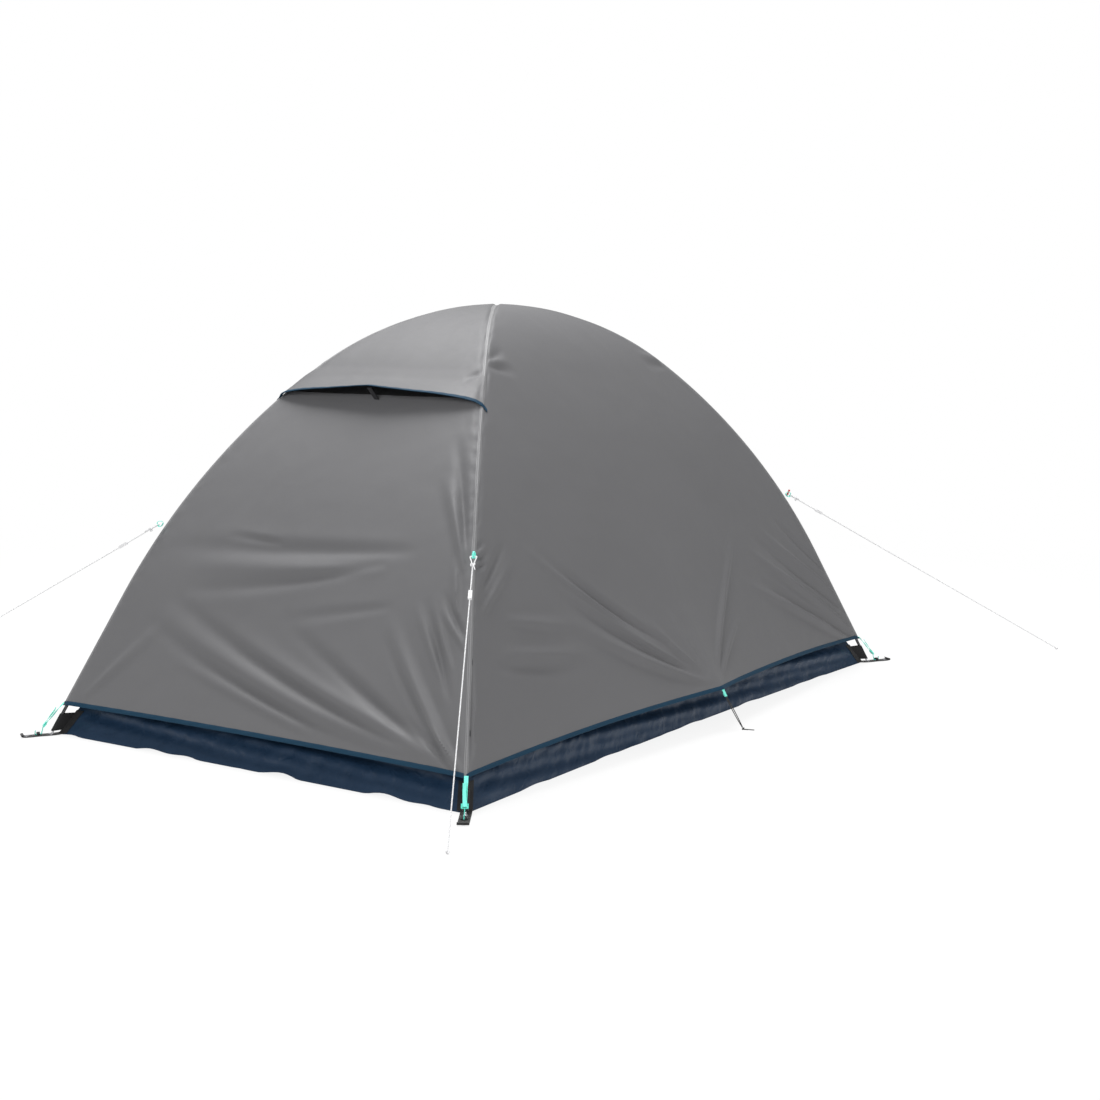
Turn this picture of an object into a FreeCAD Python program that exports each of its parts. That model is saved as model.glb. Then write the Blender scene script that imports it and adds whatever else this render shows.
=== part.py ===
# Two-person dome tent: an inner tent with a bathtub floor hangs from two crossed
# shock-corded poles, and a rectangular flysheet is stretched over them.
# Frame: origin on the ground under the middle of the floor, +Z up, +Y along the
# floor towards the vented rear end, so the door end looks along -Y.
import FreeCAD, Part
import Sketcher
import math
import os
from FreeCAD import Matrix, Placement, Rotation, Vector

doc = FreeCAD.newDocument("dome_tent")
sheet = doc.addObject("Spreadsheet::Sheet", "Sizes")

SIZES = [
    # overall
    ("floor_width", 1340, "groundsheet across the tent"),
    ("floor_length", 2100, "groundsheet along the tent"),
    ("tent_height", 1127, "ground to the outside of the flysheet at the crown"),
    ("ridge_overhang", 36, "the flysheet's ridge line meets the ground this far outside a floor corner"),
    # the bent shape of the poles, in the upright plane through two opposite corners
    ("leg_slope", 60, "degrees from level at the foot"),
    ("leg_run", 420, "straight length above the foot"),
    ("crown_angle", 35, "degrees turned by the crown arc on each side"),
    # poles
    ("pole_diameter", 8.5, "fibreglass tube"),
    ("pole_bore", 4.6, "hole through the tube"),
    ("pole_sections", 7, "tubes in one pole, an odd number"),
    ("tube_play", 0.3, "between the ends of two tubes"),
    ("ferrule_diameter", 10.4, "steel sleeve over a joint"),
    ("ferrule_length", 60, "steel sleeve over a joint"),
    ("ferrule_play", 0.3, "sleeve to tube, all round"),
    ("shock_cord_diameter", 3, "elastic cord through the tubes"),
    ("tip_pin_diameter", 4.4, "pin under a pole end"),
    ("tip_pin_length", 13, "pin under a pole end"),
    ("tip_cap_length", 16, "cap over a pole end"),
    ("tip_cap_depth", 9, "how far the tube sits in its cap"),
    ("cross_play", 0.3, "between the two poles where they cross"),
    # cloth
    ("cloth", 2, "thickness that stands for a cloth panel"),
    ("seam_play", 0.3, "between pieces that are sewn, laid or zipped together"),
    ("ridge_standoff", 14, "flysheet ridge outside the pole's axis"),
    ("hem_height", 79, "lower edge of the flysheet at a corner"),
    ("binding_width", 12, "tape sewn round an edge"),
    ("binding_proud", 0.6, "tape over the cloth on each side"),
    ("side_pull", 87, "how far the middle of a side hem is pulled out"),
    ("side_rise", 3, "how much higher the hem is there"),
    ("side_reach", 620, "height over which the pulled side fades back"),
    # inner tent
    ("inner_standoff", 42, "inner tent seam inside the pole's axis"),
    ("tub_height", 110, "top of the bathtub wall"),
    ("clip_length", 14, "pole clip along the pole"),
    ("clip_wall", 1.4, "pole clip round the pole"),
    ("clip_play", 0.3, "pole clip to pole"),
    ("clip_tape", 1.6, "thickness of a clip's tape"),
    ("clip_seam_play", 0.5, "clip's tape to the inner tent's seam"),
    # rear vent
    ("vent_height", 878, "lower edge of the hood at a ridge"),
    ("vent_lift", 50, "hood edge held off the panel in the middle"),
    ("hood_overlap", 15, "hood edge below the mesh"),
    ("mesh_height", 44, "vent mesh, measured upright"),
    ("mesh_thickness", 1.2, "vent mesh"),
    ("hood_play", 1, "hood cloth over the mesh"),
    ("prop_width", 14, "stiff strip that props the hood"),
    ("prop_thickness", 2, "stiff strip that props the hood"),
    ("prop_pivot", 1.7, "strip's fold line off the panel"),
    ("prop_play", 1.5, "strip's end under the hood"),
    # doors
    ("fly_door_bottom", 900, "outer door opening, width at the ground"),
    ("fly_door_top", 500, "outer door opening, width at its fold"),
    ("fly_door_height", 800, "outer door, height of its fold"),
    ("inner_door_bottom", 720, "inner door opening, width at its fold"),
    ("inner_door_top", 380, "inner door opening, width at the top"),
    ("inner_door_low", 128, "inner door, height of its fold"),
    ("inner_door_high", 700, "inner door opening, height of its upper edge"),
    ("inner_door_corner", 150, "inner door opening, rounding of its upper corners"),
    ("zip_width", 4, "between a door and its wall, filled by the zip"),
    ("zip_proud", 0.2, "zip over the cloth on each side"),
    ("slider_width", 11, "zip slider"),
    ("slider_length", 17, "zip slider"),
    ("slider_thickness", 4, "zip slider"),
    ("slider_start", 34, "slider's middle above the low end of its zip"),
    ("cheek_thickness", 1.4, "slider's ears beside the puller"),
    ("cheek_length", 5, "slider's ears along the zip"),
    ("pivot_height", 3, "puller's pivot over the slider"),
    ("pivot_diameter", 1.6, "puller's pivot pin"),
    ("pivot_play", 0.08, "pivot pin in the puller, all round"),
    ("pull_width", 6, "zip puller"),
    ("pull_length", 30, "zip puller"),
    ("pull_thickness", 1.5, "zip puller"),
    ("pull_eye", 3.8, "outside of the puller's eye"),
    # corners
    ("strap_width", 28, "black webbing at a corner"),
    ("strap_length", 98, "from the floor corner outwards"),
    ("strap_thickness", 1.6, "black webbing at a corner"),
    ("tip_hole", 11.4, "grommet for the pole tip, inside"),
    ("peg_hole", 10, "grommet for a tent peg, inside"),
    ("peg_inset", 15, "peg grommet's middle from the strap's end"),
    ("grommet_rim", 3.2, "ring width of a grommet"),
    ("grommet_height", 3, "thickness of a grommet"),
    ("keeper_radius", 8.5, "webbing arch that takes the corner hook, outside"),
    ("keeper_wall", 1.5, "webbing arch"),
    ("keeper_width", 8, "webbing arch"),
    ("keeper_place", 33, "webbing arch from the pole's foot outwards"),
    ("tension_width", 10, "mint tape from the hem to the corner"),
    ("tension_thickness", 1.5, "mint tape from the hem to the corner"),
    ("tape_out", 1.5, "tape's upper end outside the hem"),
    ("tape_under", 1.6, "tape's upper end below the hem"),
    ("hook_wire", 2.6, "mint corner hook"),
    ("hook_clearance", 1, "hook over the strap"),
    ("hook_back", 13, "hook's upper end behind the webbing arch"),
    ("hook_rise", 19, "hook's upper end over its foot"),
    ("hook_heel", 8, "hook's rear bend behind the webbing arch"),
    ("hook_toe", 9, "hook's front bend before the webbing arch"),
    ("hook_tip", 7, "hook's tip before the webbing arch"),
    ("hook_tip_rise", 11, "hook's tip over its foot"),
    ("hook_heel_bend", 4.5, "radius of the rear bend, to the wire's axis"),
    ("hook_toe_bend", 3.6, "radius of the front bend, to the wire's axis"),
    ("adjuster_width", 17, "ladder adjuster"),
    ("adjuster_length", 12, "ladder adjuster"),
    ("adjuster_thickness", 2.6, "ladder adjuster"),
    ("adjuster_slot", 2.2, "length of each slot along the tape"),
    ("adjuster_play", 0.5, "tape in a slot, at each side"),
    # guy lines
    ("guy_height", 541, "guy loop on the ridge"),
    ("guy_diameter", 3, "guy line"),
    ("guy_loop_radius", 9, "mint guy loop, outside"),
    ("guy_loop_wall", 1.5, "mint guy loop"),
    ("guy_loop_width", 10, "mint guy loop"),
    ("guy_loop_stand", 0.8, "mint guy loop off the ridge"),
    ("runner_length", 24, "guy line runner"),
    ("runner_width", 9, "guy line runner"),
    ("runner_thickness", 7, "guy line runner"),
    ("runner_play", 0.3, "guy line in its runner, all round"),
    ("runner_place", 120, "runner's middle from the ridge"),
    ("knot_radius", 3.6, "knots in the guy lines"),
    ("hitch_length", 26, "tied eye from the mint loop to its knot"),
    ("hitch_gap", 2.8, "between the eye's two strands at the knot, axis to axis"),
    ("hitch_play", 0.8, "eye off the inside of the mint loop"),
    ("hitch_side", 1.2, "eye off the sides of the mint loop"),
    ("hitch_bend", 2.4, "bends of the eye, to the cord's axis"),
    ("marker_length", 22, "red marker tag at one guy loop"),
    ("marker_width", 6, "red marker tag"),
    ("marker_thickness", 1, "red marker tag"),
    # pull-out points in the middle of the long sides
    ("tab_width", 11, "mint tab"),
    ("tab_length", 20, "mint tab"),
    ("side_cord_diameter", 2.4, "black cord from the tab to the ground"),
    ("side_knot_radius", 3.2, "knot at its end"),
    # lantern ring
    ("lantern_radius", 14, "ring under the ceiling, to the wire's axis"),
    ("lantern_wire", 3, "ring under the ceiling"),
    ("lantern_loop_radius", 8, "webbing loop that holds the ring, outside"),
    ("lantern_loop_width", 5, "webbing loop that holds the ring"),
    ("lantern_drop", 0.8, "ring's wire over the bottom of the loop"),
]

# where each guy line meets the ground, across and along from its floor corner outwards,
# and the end of the side cords, across from the floor's edge and along from the middle
GUY_GROUND = {
    "rear_left": (148, 263),
    "front_left": (438, 558),
    "rear_right": (692, 182),
    "front_right": (430, 550),
}
SIDE_CORD_GROUND = (126, -22)

for row, (alias, value, meaning) in enumerate(SIZES, start=1):
    sheet.set("A%d" % row, alias)
    sheet.set("B%d" % row, str(value))
    sheet.set("C%d" % row, meaning)
    sheet.setAlias("B%d" % row, alias)
doc.recompute()

parts = []


def size(alias):
    """A driving dimension, read from the sheet."""
    return float(sheet.get(alias))


def keep(item):
    """Mark a document object as a sub-part that gets a file of its own."""
    parts.append(item)
    return item


def feature(label, shape):
    """A sub-part whose shape is worked out in this script."""
    item = doc.addObject("Part::Feature", label)
    item.Label = label
    item.Shape = shape
    return keep(item)


cloth = size("cloth")
play = size("seam_play")
cos_slope = math.cos(math.radians(size("leg_slope")))
sin_slope = math.sin(math.radians(size("leg_slope")))
floor_diagonal = math.hypot(size("floor_width"), size("floor_length")) / 2
diagonal = math.atan2(size("floor_length"), size("floor_width"))
CORNER_TURNS = {
    "rear_right": math.degrees(diagonal),
    "rear_left": 180 - math.degrees(diagonal),
    "front_left": 180 + math.degrees(diagonal),
    "front_right": -math.degrees(diagonal),
}


# ---------------------------------------------------------------- the bent line of a pole
class Arch:
    """Crown arc, shoulder arc and straight leg, tangent to each other, in the plane of
    reach (from the tent's axis) and height. A run is measured from the crown, and a
    negative run lies on the side of negative reach."""

    def __init__(self, foot, top):
        self.foot = foot
        self.top = top
        self.leg = size("leg_run")
        self.crown_turn = math.radians(size("crown_angle"))
        self.leg_turn = math.radians(size("leg_slope"))
        sin_crown, cos_crown = math.sin(self.crown_turn), math.cos(self.crown_turn)
        sin_leg, cos_leg = math.sin(self.leg_turn), math.cos(self.leg_turn)
        width = foot - self.leg * cos_leg
        drop = top - self.leg * sin_leg
        # the widths and the drops of the two arcs add up: two equations for two radii
        scale = sin_crown * (cos_crown - cos_leg) - (sin_leg - sin_crown) * (1 - cos_crown)
        self.crown = (width * (cos_crown - cos_leg) - drop * (sin_leg - sin_crown)) / scale
        self.shoulder = (sin_crown * drop - (1 - cos_crown) * width) / scale

    def offset(self, distance):
        """The parallel arch, outwards for a positive distance."""
        other = Arch(self.foot, self.top)
        other.foot = self.foot + distance / math.sin(self.leg_turn)
        other.top = self.top + distance
        other.leg = self.leg + distance / math.tan(self.leg_turn)
        other.crown = self.crown + distance
        other.shoulder = self.shoulder + distance
        return other

    def crown_end(self):
        return self.crown * self.crown_turn

    def shoulder_end(self):
        return self.crown_end() + self.shoulder * (self.leg_turn - self.crown_turn)

    def length(self):
        """From the crown to the ground."""
        return self.shoulder_end() + self.leg

    def at(self, run):
        """Reach, height and slope at a run."""
        far = abs(run)
        side = -1 if run < 0 else 1
        if far <= self.crown_end():
            slope = far / self.crown
            return side * self.crown * math.sin(slope), self.top - self.crown * (1 - math.cos(slope)), slope
        if far <= self.shoulder_end():
            slope = self.crown_turn + (far - self.crown_end()) / self.shoulder
            reach = self.crown * math.sin(self.crown_turn)
            reach += self.shoulder * (math.sin(slope) - math.sin(self.crown_turn))
            height = self.top - self.crown * (1 - math.cos(self.crown_turn))
            height -= self.shoulder * (math.cos(self.crown_turn) - math.cos(slope))
            return side * reach, height, slope
        left = self.length() - far
        reach = self.foot - left * math.cos(self.leg_turn)
        return side * reach, left * math.sin(self.leg_turn), self.leg_turn

    def point(self, run):
        reach, height, _ = self.at(run)
        return Vector(reach, 0, height)

    def run_at(self, height):
        """The run down to a height."""
        low, high = 0.0, self.length()
        for _ in range(60):
            middle = (low + high) / 2
            if self.at(middle)[1] > height:
                low = middle
            else:
                high = middle
        return (low + high) / 2

    def wire(self, start, end):
        """The exact lines and arcs between two runs."""
        joints = [-self.shoulder_end(), -self.crown_end(), self.crown_end(), self.shoulder_end()]
        stops = [start] + [run for run in joints if start < run < end] + [end]
        edges = []
        for first, last in zip(stops, stops[1:]):
            middle = (first + last) / 2
            if abs(middle) > self.shoulder_end():
                edges.append(Part.LineSegment(self.point(first), self.point(last)).toShape())
            else:
                arc = Part.Arc(self.point(first), self.point(middle), self.point(last))
                edges.append(arc.toShape())
        return Part.Wire(edges)


fly_arch = Arch(floor_diagonal + size("ridge_overhang"), size("tent_height"))
pole_arch = fly_arch.offset(-size("ridge_standoff"))
inner_arch = pole_arch.offset(-size("inner_standoff"))
under_arch = Arch(pole_arch.foot, pole_arch.top - size("pole_diameter") - size("cross_play"))


def turned(shape, corner):
    """A copy of a shape made in the plane of reach and height, turned to a corner."""
    copy = shape.copy()
    turn = Placement(Vector(0, 0, 0), Rotation(Vector(0, 0, 1), CORNER_TURNS[corner]))
    copy.Placement = turn.multiply(copy.Placement)
    return copy


def at_corners(shape):
    return Part.makeCompound([turned(shape, corner) for corner in CORNER_TURNS])


# ---------------------------------------------------------------- cloth panels
SHARE_STEPS = 6
SHARES = [step / SHARE_STEPS for step in range(-SHARE_STEPS, SHARE_STEPS + 1)]
ROW_SPACING = 60.0


def cloth_solid(outside, inside):
    """A closed panel between two grids of points of the same layout."""
    faces = []
    borders = []
    for grid in (outside, inside):
        surface = Part.BSplineSurface()
        surface.interpolate(grid)
        faces.append(surface.toShape())
        u_low, u_high, v_low, v_high = surface.bounds()
        sides = [surface.uIso(u_low), surface.uIso(u_high)]
        borders.append(sides + [surface.vIso(v_low), surface.vIso(v_high)])
    for outer_edge, inner_edge in zip(*borders):
        faces.append(Part.makeRuledSurface(outer_edge.toShape(), inner_edge.toShape()))
    shell = Part.makeShell(faces)
    shell.sewShape()
    solid = Part.Solid(shell)
    if solid.Volume < 0:
        solid.reverse()
    return solid


def wall_point(arch, end, sign, share, run, lift):
    """A point of the wall between two neighbouring ridges. The cloth is level from
    ridge to ridge, and lift moves it out along its own normal. Share goes from -1 at
    one ridge to 1 at the other, and both edges stay in the planes of the corners."""
    reach, height, slope = arch.at(run)
    part_of_reach = math.sin(diagonal) if end else math.cos(diagonal)
    out = math.sin(slope)
    up = part_of_reach * math.cos(slope)
    norm = math.hypot(out, up)
    depth = reach * part_of_reach + lift * out / norm
    height += lift * up / norm
    if end:
        return Vector(share * depth / math.tan(diagonal), sign * depth, height)
    return Vector(sign * depth, share * depth * math.tan(diagonal), height)


def wall(arch, end, sign, top_run, low_run, outside=0.0, inside=None, lift=None, climb=None, both=False):
    """Cloth from top_run down to low_run, between two distances from the arch's surface.
    lift(share, run) stands it out, climb(share) raises its lower edge, or both edges."""
    inside = outside - cloth if inside is None else inside
    rows = max(4, int((low_run - top_run) / ROW_SPACING) + 3)
    grids = []
    for level in (outside, inside):
        grid = []
        for share in SHARES:
            rise = climb(share) if climb else 0.0
            low = low_run - rise
            top = top_run - rise if both else top_run
            line = []
            for row in range(rows):
                run = top + (low - top) * row / (rows - 1)
                stand = lift(share, run) if lift else 0.0
                line.append(wall_point(arch, end, sign, share, run, stand + level))
            grid.append(line)
        grids.append(grid)
    return cloth_solid(*grids)


def binding(end, sign, edge_run, lift=None, climb=None):
    """The tape round an edge, ending at edge_run, a little thicker than the cloth."""
    proud = size("binding_proud")
    start = edge_run - size("binding_width")
    return wall(fly_arch, end, sign, start, edge_run, proud, -cloth - proud, lift, climb, True)


CROWN_START = 3.0
hem_run = fly_arch.run_at(size("hem_height"))
cloth_end = hem_run - size("binding_width") - play


# how the pull-out fades upwards and towards the corners, and how round its middle is
PULL_FADE_UP = 2.2
PULL_FADE_ACROSS = 1.4
PULL_ROUND = 1.5


def side_lift(share, run):
    """The pull-out in the middle of a long side, fading upwards and towards the corners."""
    climbed = (fly_arch.at(run)[1] - size("hem_height")) / size("side_reach")
    fade = max(0.0, 1 - climbed) ** PULL_FADE_UP
    return size("side_pull") * fade * (1 - abs(share) ** PULL_ROUND) ** PULL_FADE_ACROSS


def side_climb(share):
    """The hem climbs towards the pull-out."""
    return size("side_rise") * (1 - abs(share)) ** PULL_ROUND


# flysheet, long sides
hem_tapes = []
for label, sign in (("fly_left_panel", -1), ("fly_right_panel", 1)):
    feature(label, wall(fly_arch, False, sign, CROWN_START, cloth_end, lift=side_lift, climb=side_climb))
    hem_tapes.append(binding(False, sign, hem_run, side_lift, side_climb))

# flysheet, rear end: lower panel, vent mesh and the hood over it
vent_run = fly_arch.run_at(size("vent_height"))
mesh_low = fly_arch.run_at(size("vent_height") + size("hood_overlap"))
mesh_top = fly_arch.run_at(size("vent_height") + size("hood_overlap") + size("mesh_height"))
HOOD_FADE = 40.0
HOOD_LEAD = 38.0
HOOD_CURL = 1.5
HOOD_PEAK = 1.15


def hood_lift(share, run):
    """The hood lies just over the mesh, and its edge is propped off it in the middle."""
    over_mesh = min(1.0, max(0.0, (run - mesh_top + HOOD_LEAD) / HOOD_FADE))
    down = min(1.0, max(0.0, (run - mesh_top) / (vent_run - mesh_top)))
    peak = size("vent_lift") * down ** HOOD_CURL * (1 - abs(share)) ** HOOD_PEAK
    return over_mesh * (cloth + size("hood_play")) + peak


feature("fly_rear_panel", wall(fly_arch, True, 1, mesh_low + play, cloth_end))
feature("vent_mesh", wall(fly_arch, True, 1, mesh_top, mesh_low, inside=-size("mesh_thickness")))
hood_end = vent_run - size("binding_width") - play
feature("vent_hood", wall(fly_arch, True, 1, CROWN_START, hood_end, lift=hood_lift))
feature("hood_binding", binding(True, 1, vent_run, hood_lift))
hem_tapes.append(binding(True, 1, hem_run))


# ---------------------------------------------------------------- doors
DOOR_REACH = 0.9 * size("floor_length")
UNDER_HEM = -100.0


def door_prism(low_half, high_half, low, high, corner=0.0):
    """A block through the front wall with a door's outline, widths given at both heights.
    It stops short of the tent's middle, where the rear wall would begin."""
    far = -size("floor_length")
    outline = [Vector(-low_half, far, low), Vector(low_half, far, low),
               Vector(high_half, far, high), Vector(-high_half, far, high)]
    block = Part.Face(Part.makePolygon(outline + outline[:1])).extrude(Vector(0, DOOR_REACH, 0))
    if corner > 0:
        upper = []
        for edge in block.Edges:
            heights = [vertex.Z for vertex in edge.Vertexes]
            if min(heights) > high - 0.01 and abs(edge.Vertexes[0].X - edge.Vertexes[1].X) < 0.01:
                upper.append(edge)
        block = block.makeFillet(corner, upper)
    return block


def fly_door_prism(inset, top_inset):
    """The outer door's outline, drawn in by inset at its sides."""
    low = UNDER_HEM
    high = size("fly_door_height") - top_inset
    lean = (size("fly_door_bottom") - size("fly_door_top")) / 2 / size("fly_door_height")
    low_half = size("fly_door_bottom") / 2 - lean * low - inset
    high_half = size("fly_door_bottom") / 2 - lean * high - inset
    return door_prism(low_half, high_half, low, high)


def inner_door_prism(inset, low_inset):
    """The inner door's outline, drawn in by inset at its sides and top."""
    low = size("inner_door_low") + low_inset
    high = size("inner_door_high") - inset
    tall = size("inner_door_high") - size("inner_door_low")
    lean = (size("inner_door_bottom") - size("inner_door_top")) / 2 / tall
    low_half = size("inner_door_bottom") / 2 - lean * (low - size("inner_door_low")) - inset
    high_half = size("inner_door_bottom") / 2 - lean * (high - size("inner_door_low")) - inset
    return door_prism(low_half, high_half, low, high, size("inner_door_corner") - inset)


zip_width = size("zip_width")
front_cloth = wall(fly_arch, True, -1, CROWN_START, cloth_end)
front_tape = binding(True, -1, hem_run)
opening = fly_door_prism(0, 0)
door_block = fly_door_prism(zip_width, play)
feature("fly_front_panel", front_cloth.cut(opening))
feature("fly_door", front_cloth.common(door_block))
feature("door_binding", front_tape.common(door_block))
hem_tapes += front_tape.cut(opening).Solids
feature("hem_binding", Part.makeCompound(hem_tapes))
zip_proud = size("zip_proud")
fold_run = fly_arch.run_at(size("fly_door_height"))
zip_band = wall(fly_arch, True, -1, fold_run, cloth_end, zip_proud, -cloth - zip_proud)
fly_zips = zip_band.common(fly_door_prism(play, play)).cut(fly_door_prism(zip_width - play, 0))
feature("fly_zips", fly_zips)

# inner tent: walls from the top of the bathtub to the ceiling
inner_low = inner_arch.run_at(size("tub_height")) - play - cloth * cos_slope
for label, end, sign in (("inner_left_wall", False, -1), ("inner_right_wall", False, 1),
                         ("inner_rear_wall", True, 1)):
    feature(label, wall(inner_arch, end, sign, CROWN_START, inner_low))
inner_front = wall(inner_arch, True, -1, CROWN_START, inner_low)
feature("inner_front_wall", inner_front.cut(inner_door_prism(0, 0)))
feature("inner_door", inner_front.common(inner_door_prism(zip_width, play)))
inner_band = wall(inner_arch, True, -1, CROWN_START, inner_low, zip_proud, -cloth - zip_proud)
inner_zip = inner_band.common(inner_door_prism(play, play)).cut(inner_door_prism(zip_width - play, 0))
feature("inner_zip", inner_zip)

# bathtub floor: a flat sheet and four leaning walls that meet in mitres
ground = keep(doc.addObject("Part::Box", "groundsheet"))
ground.Label = "groundsheet"
ground.setExpression("Length", "Sizes.floor_width")
ground.setExpression("Width", "Sizes.floor_length")
ground.setExpression("Height", "Sizes.cloth")
ground.setExpression("Placement.Base.x", "-Sizes.floor_width / 2")
ground.setExpression("Placement.Base.y", "-Sizes.floor_length / 2")

tub_top_reach = inner_arch.at(inner_arch.run_at(size("tub_height")))[0]


def tub_wall(end, sign):
    """A leaning wall from the floor's edge up to the inner tent's lower seam."""
    share = math.sin(diagonal) if end else math.cos(diagonal)
    grids = []
    for back in (0, cloth):
        grid = []
        for side in (-1, 1):
            line = []
            for reach, height in ((tub_top_reach, size("tub_height")), (floor_diagonal, cloth)):
                depth = reach * share - back
                if end:
                    line.append(Vector(side * depth / math.tan(diagonal), sign * depth, height))
                else:
                    line.append(Vector(sign * depth, side * depth * math.tan(diagonal), height))
            grid.append(line)
        grids.append(grid)
    return cloth_solid(*grids)


for label, end, sign in (("tub_left_wall", False, -1), ("tub_right_wall", False, 1),
                         ("tub_rear_wall", True, 1), ("tub_front_wall", True, -1)):
    feature(label, tub_wall(end, sign))


# ---------------------------------------------------------------- poles
def rod(arch, start, end, radius, bore=0.0):
    """A bent rod or tube along an arch."""
    path = arch.wire(start, end)
    along = path.Edges[0].tangentAt(path.Edges[0].FirstParameter)
    rings = [Part.Wire(Part.makeCircle(r, arch.point(start), along)) for r in (radius, bore) if r > 0]
    solids = [path.makePipeShell([ring], True, False) for ring in rings]
    return solids[0].cut(solids[1]) if bore > 0 else solids[0]


pole_radius = size("pole_diameter") / 2
pin_radius = size("tip_pin_diameter") / 2
ferrule_radius = size("ferrule_diameter") / 2
sleeve_bore = pole_radius + size("ferrule_play")
# the pin's slanted end just clears the ground
pin_end = (pin_radius * cos_slope + play) / sin_slope
cap_end = pin_end + size("tip_pin_length")
tube_end = cap_end + size("tip_cap_length") - size("tip_cap_depth")
leg_up = Vector(-cos_slope, 0, sin_slope)


def pole_tip(arch):
    """The cap over a pole end, with the pin that stands in the corner grommet."""
    foot = Vector(arch.foot, 0, 0)
    pin = Part.makeCylinder(pin_radius, size("tip_pin_length") + 1, foot + leg_up * pin_end, leg_up)
    cap = Part.makeCylinder(ferrule_radius, size("tip_cap_length"), foot + leg_up * cap_end, leg_up)
    socket_start = foot + leg_up * (tube_end - play)
    socket = Part.makeCylinder(sleeve_bore, size("tip_cap_length"), socket_start, leg_up)
    return pin.fuse(cap).cut(socket)


def build_pole(name, arch, corners):
    """Tubes, sleeves, end tips and the elastic cord of one pole."""
    half = arch.length() - tube_end
    section = 2 * half / size("pole_sections")
    reach = size("ferrule_length") / 2
    count = int(size("pole_sections"))
    gap = size("tube_play") / 2
    tubes = []
    sleeves = []
    for number in range(count):
        start = -half + number * section
        tubes.append(rod(arch, start + gap, start + section - gap, pole_radius, size("pole_bore") / 2))
        if number > 0:
            sleeves.append(rod(arch, start - reach, start + reach, ferrule_radius, sleeve_bore))
    tips = [turned(pole_tip(arch), corner) for corner in corners]
    cord = rod(arch, -half, half, size("shock_cord_diameter") / 2)
    feature(name + "_tubes", turned(Part.makeCompound(tubes), corners[0]))
    feature(name + "_ferrules", turned(Part.makeCompound(sleeves), corners[0]))
    feature(name + "_tips", Part.makeCompound(tips))
    feature(name + "_shock_cord", turned(cord, corners[0]))
    return half, section


upper_half, upper_section = build_pole("upper_pole", pole_arch, ("rear_right", "front_left"))
under_half, under_section = build_pole("under_pole", under_arch, ("rear_left", "front_right"))

# clips on the inner tent's corner seams: a ring on the pole and a tape to the seam
CLIP_STEPS = (0.34, 0.68, 1.34, 1.68, 2.34, 2.68)


def seam_distance(point, inward):
    """How far the inner tent's ridge lies from a point on a pole."""
    near, far = 0.0, 4 * size("inner_standoff")
    for _ in range(50):
        middle = (near + far) / 2
        trial = point + inward * middle
        run = inner_arch.run_at(trial.z)
        if inner_arch.at(run)[0] < trial.x:
            near = middle
        else:
            far = middle
    return near


def pole_clip(arch, run):
    reach, height, slope = arch.at(run)
    point = Vector(reach, 0, height)
    along = Vector(math.cos(slope), 0, -math.sin(slope))
    inward = Vector(-math.sin(slope), 0, -math.cos(slope))
    length = size("clip_length")
    bore = pole_radius + size("clip_play")
    outside = bore + size("clip_wall")
    ring = Part.makeCylinder(outside, length, point - along * length / 2, along)
    tape_length = seam_distance(point, inward) - size("clip_seam_play") - bore - size("clip_wall") / 2
    tape = Part.makeBox(length, size("clip_tape"), tape_length)
    frame = Matrix(along.x, 0, inward.x, 0, 0, 1, 0, 0, along.z, 0, inward.z, 0, 0, 0, 0, 1)
    corner = point - along * length / 2 + inward * (bore + size("clip_wall") / 2)
    tape.translate(Vector(0, -size("clip_tape") / 2, 0))
    tape = tape.transformGeometry(frame)
    tape.translate(corner)
    hole = Part.makeCylinder(bore, length + 2, point - along * (length / 2 + 1), along)
    return ring.fuse(tape).cut(hole)


clips = []
for corner in CORNER_TURNS:
    over = corner in ("rear_right", "front_left")
    arch = pole_arch if over else under_arch
    half, section = (upper_half, upper_section) if over else (under_half, under_section)
    for step in CLIP_STEPS:
        clips.append(turned(pole_clip(arch, half - step * section), corner))
feature("pole_clips", Part.makeCompound(clips))


# ---------------------------------------------------------------- hardware bodies
def origin_plane(body, role):
    return [item for item in body.Origin.OriginFeatures if item.Role == role][0]


def sketch_on(body, role, name):
    sketch = body.newObject("Sketcher::SketchObject", name)
    sketch.AttachmentSupport = [(origin_plane(body, role), "")]
    sketch.MapMode = "FlatFace"
    return sketch


def centred_rectangle(sketch, wide, tall):
    """A rectangle about the sketch's origin, its sides given as expressions."""
    corners = [Vector(-5, -5, 0), Vector(5, -5, 0), Vector(5, 5, 0), Vector(-5, 5, 0)]
    for first, last in zip(corners, corners[1:] + corners[:1]):
        sketch.addGeometry(Part.LineSegment(first, last), False)
    for line in range(4):
        sketch.addConstraint(Sketcher.Constraint("Coincident", line, 2, (line + 1) % 4, 1))
    for line, kind in enumerate(("Horizontal", "Vertical", "Horizontal", "Vertical")):
        sketch.addConstraint(Sketcher.Constraint(kind, line))
    sketch.addConstraint(Sketcher.Constraint("Symmetric", 0, 1, 2, 1, -1, 1))
    wide_at = sketch.addConstraint(Sketcher.Constraint("DistanceX", 0, 1, 0, 2, 10))
    tall_at = sketch.addConstraint(Sketcher.Constraint("DistanceY", 1, 1, 1, 2, 10))
    sketch.setExpression("Constraints[%d]" % wide_at, wide)
    sketch.setExpression("Constraints[%d]" % tall_at, tall)


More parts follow.
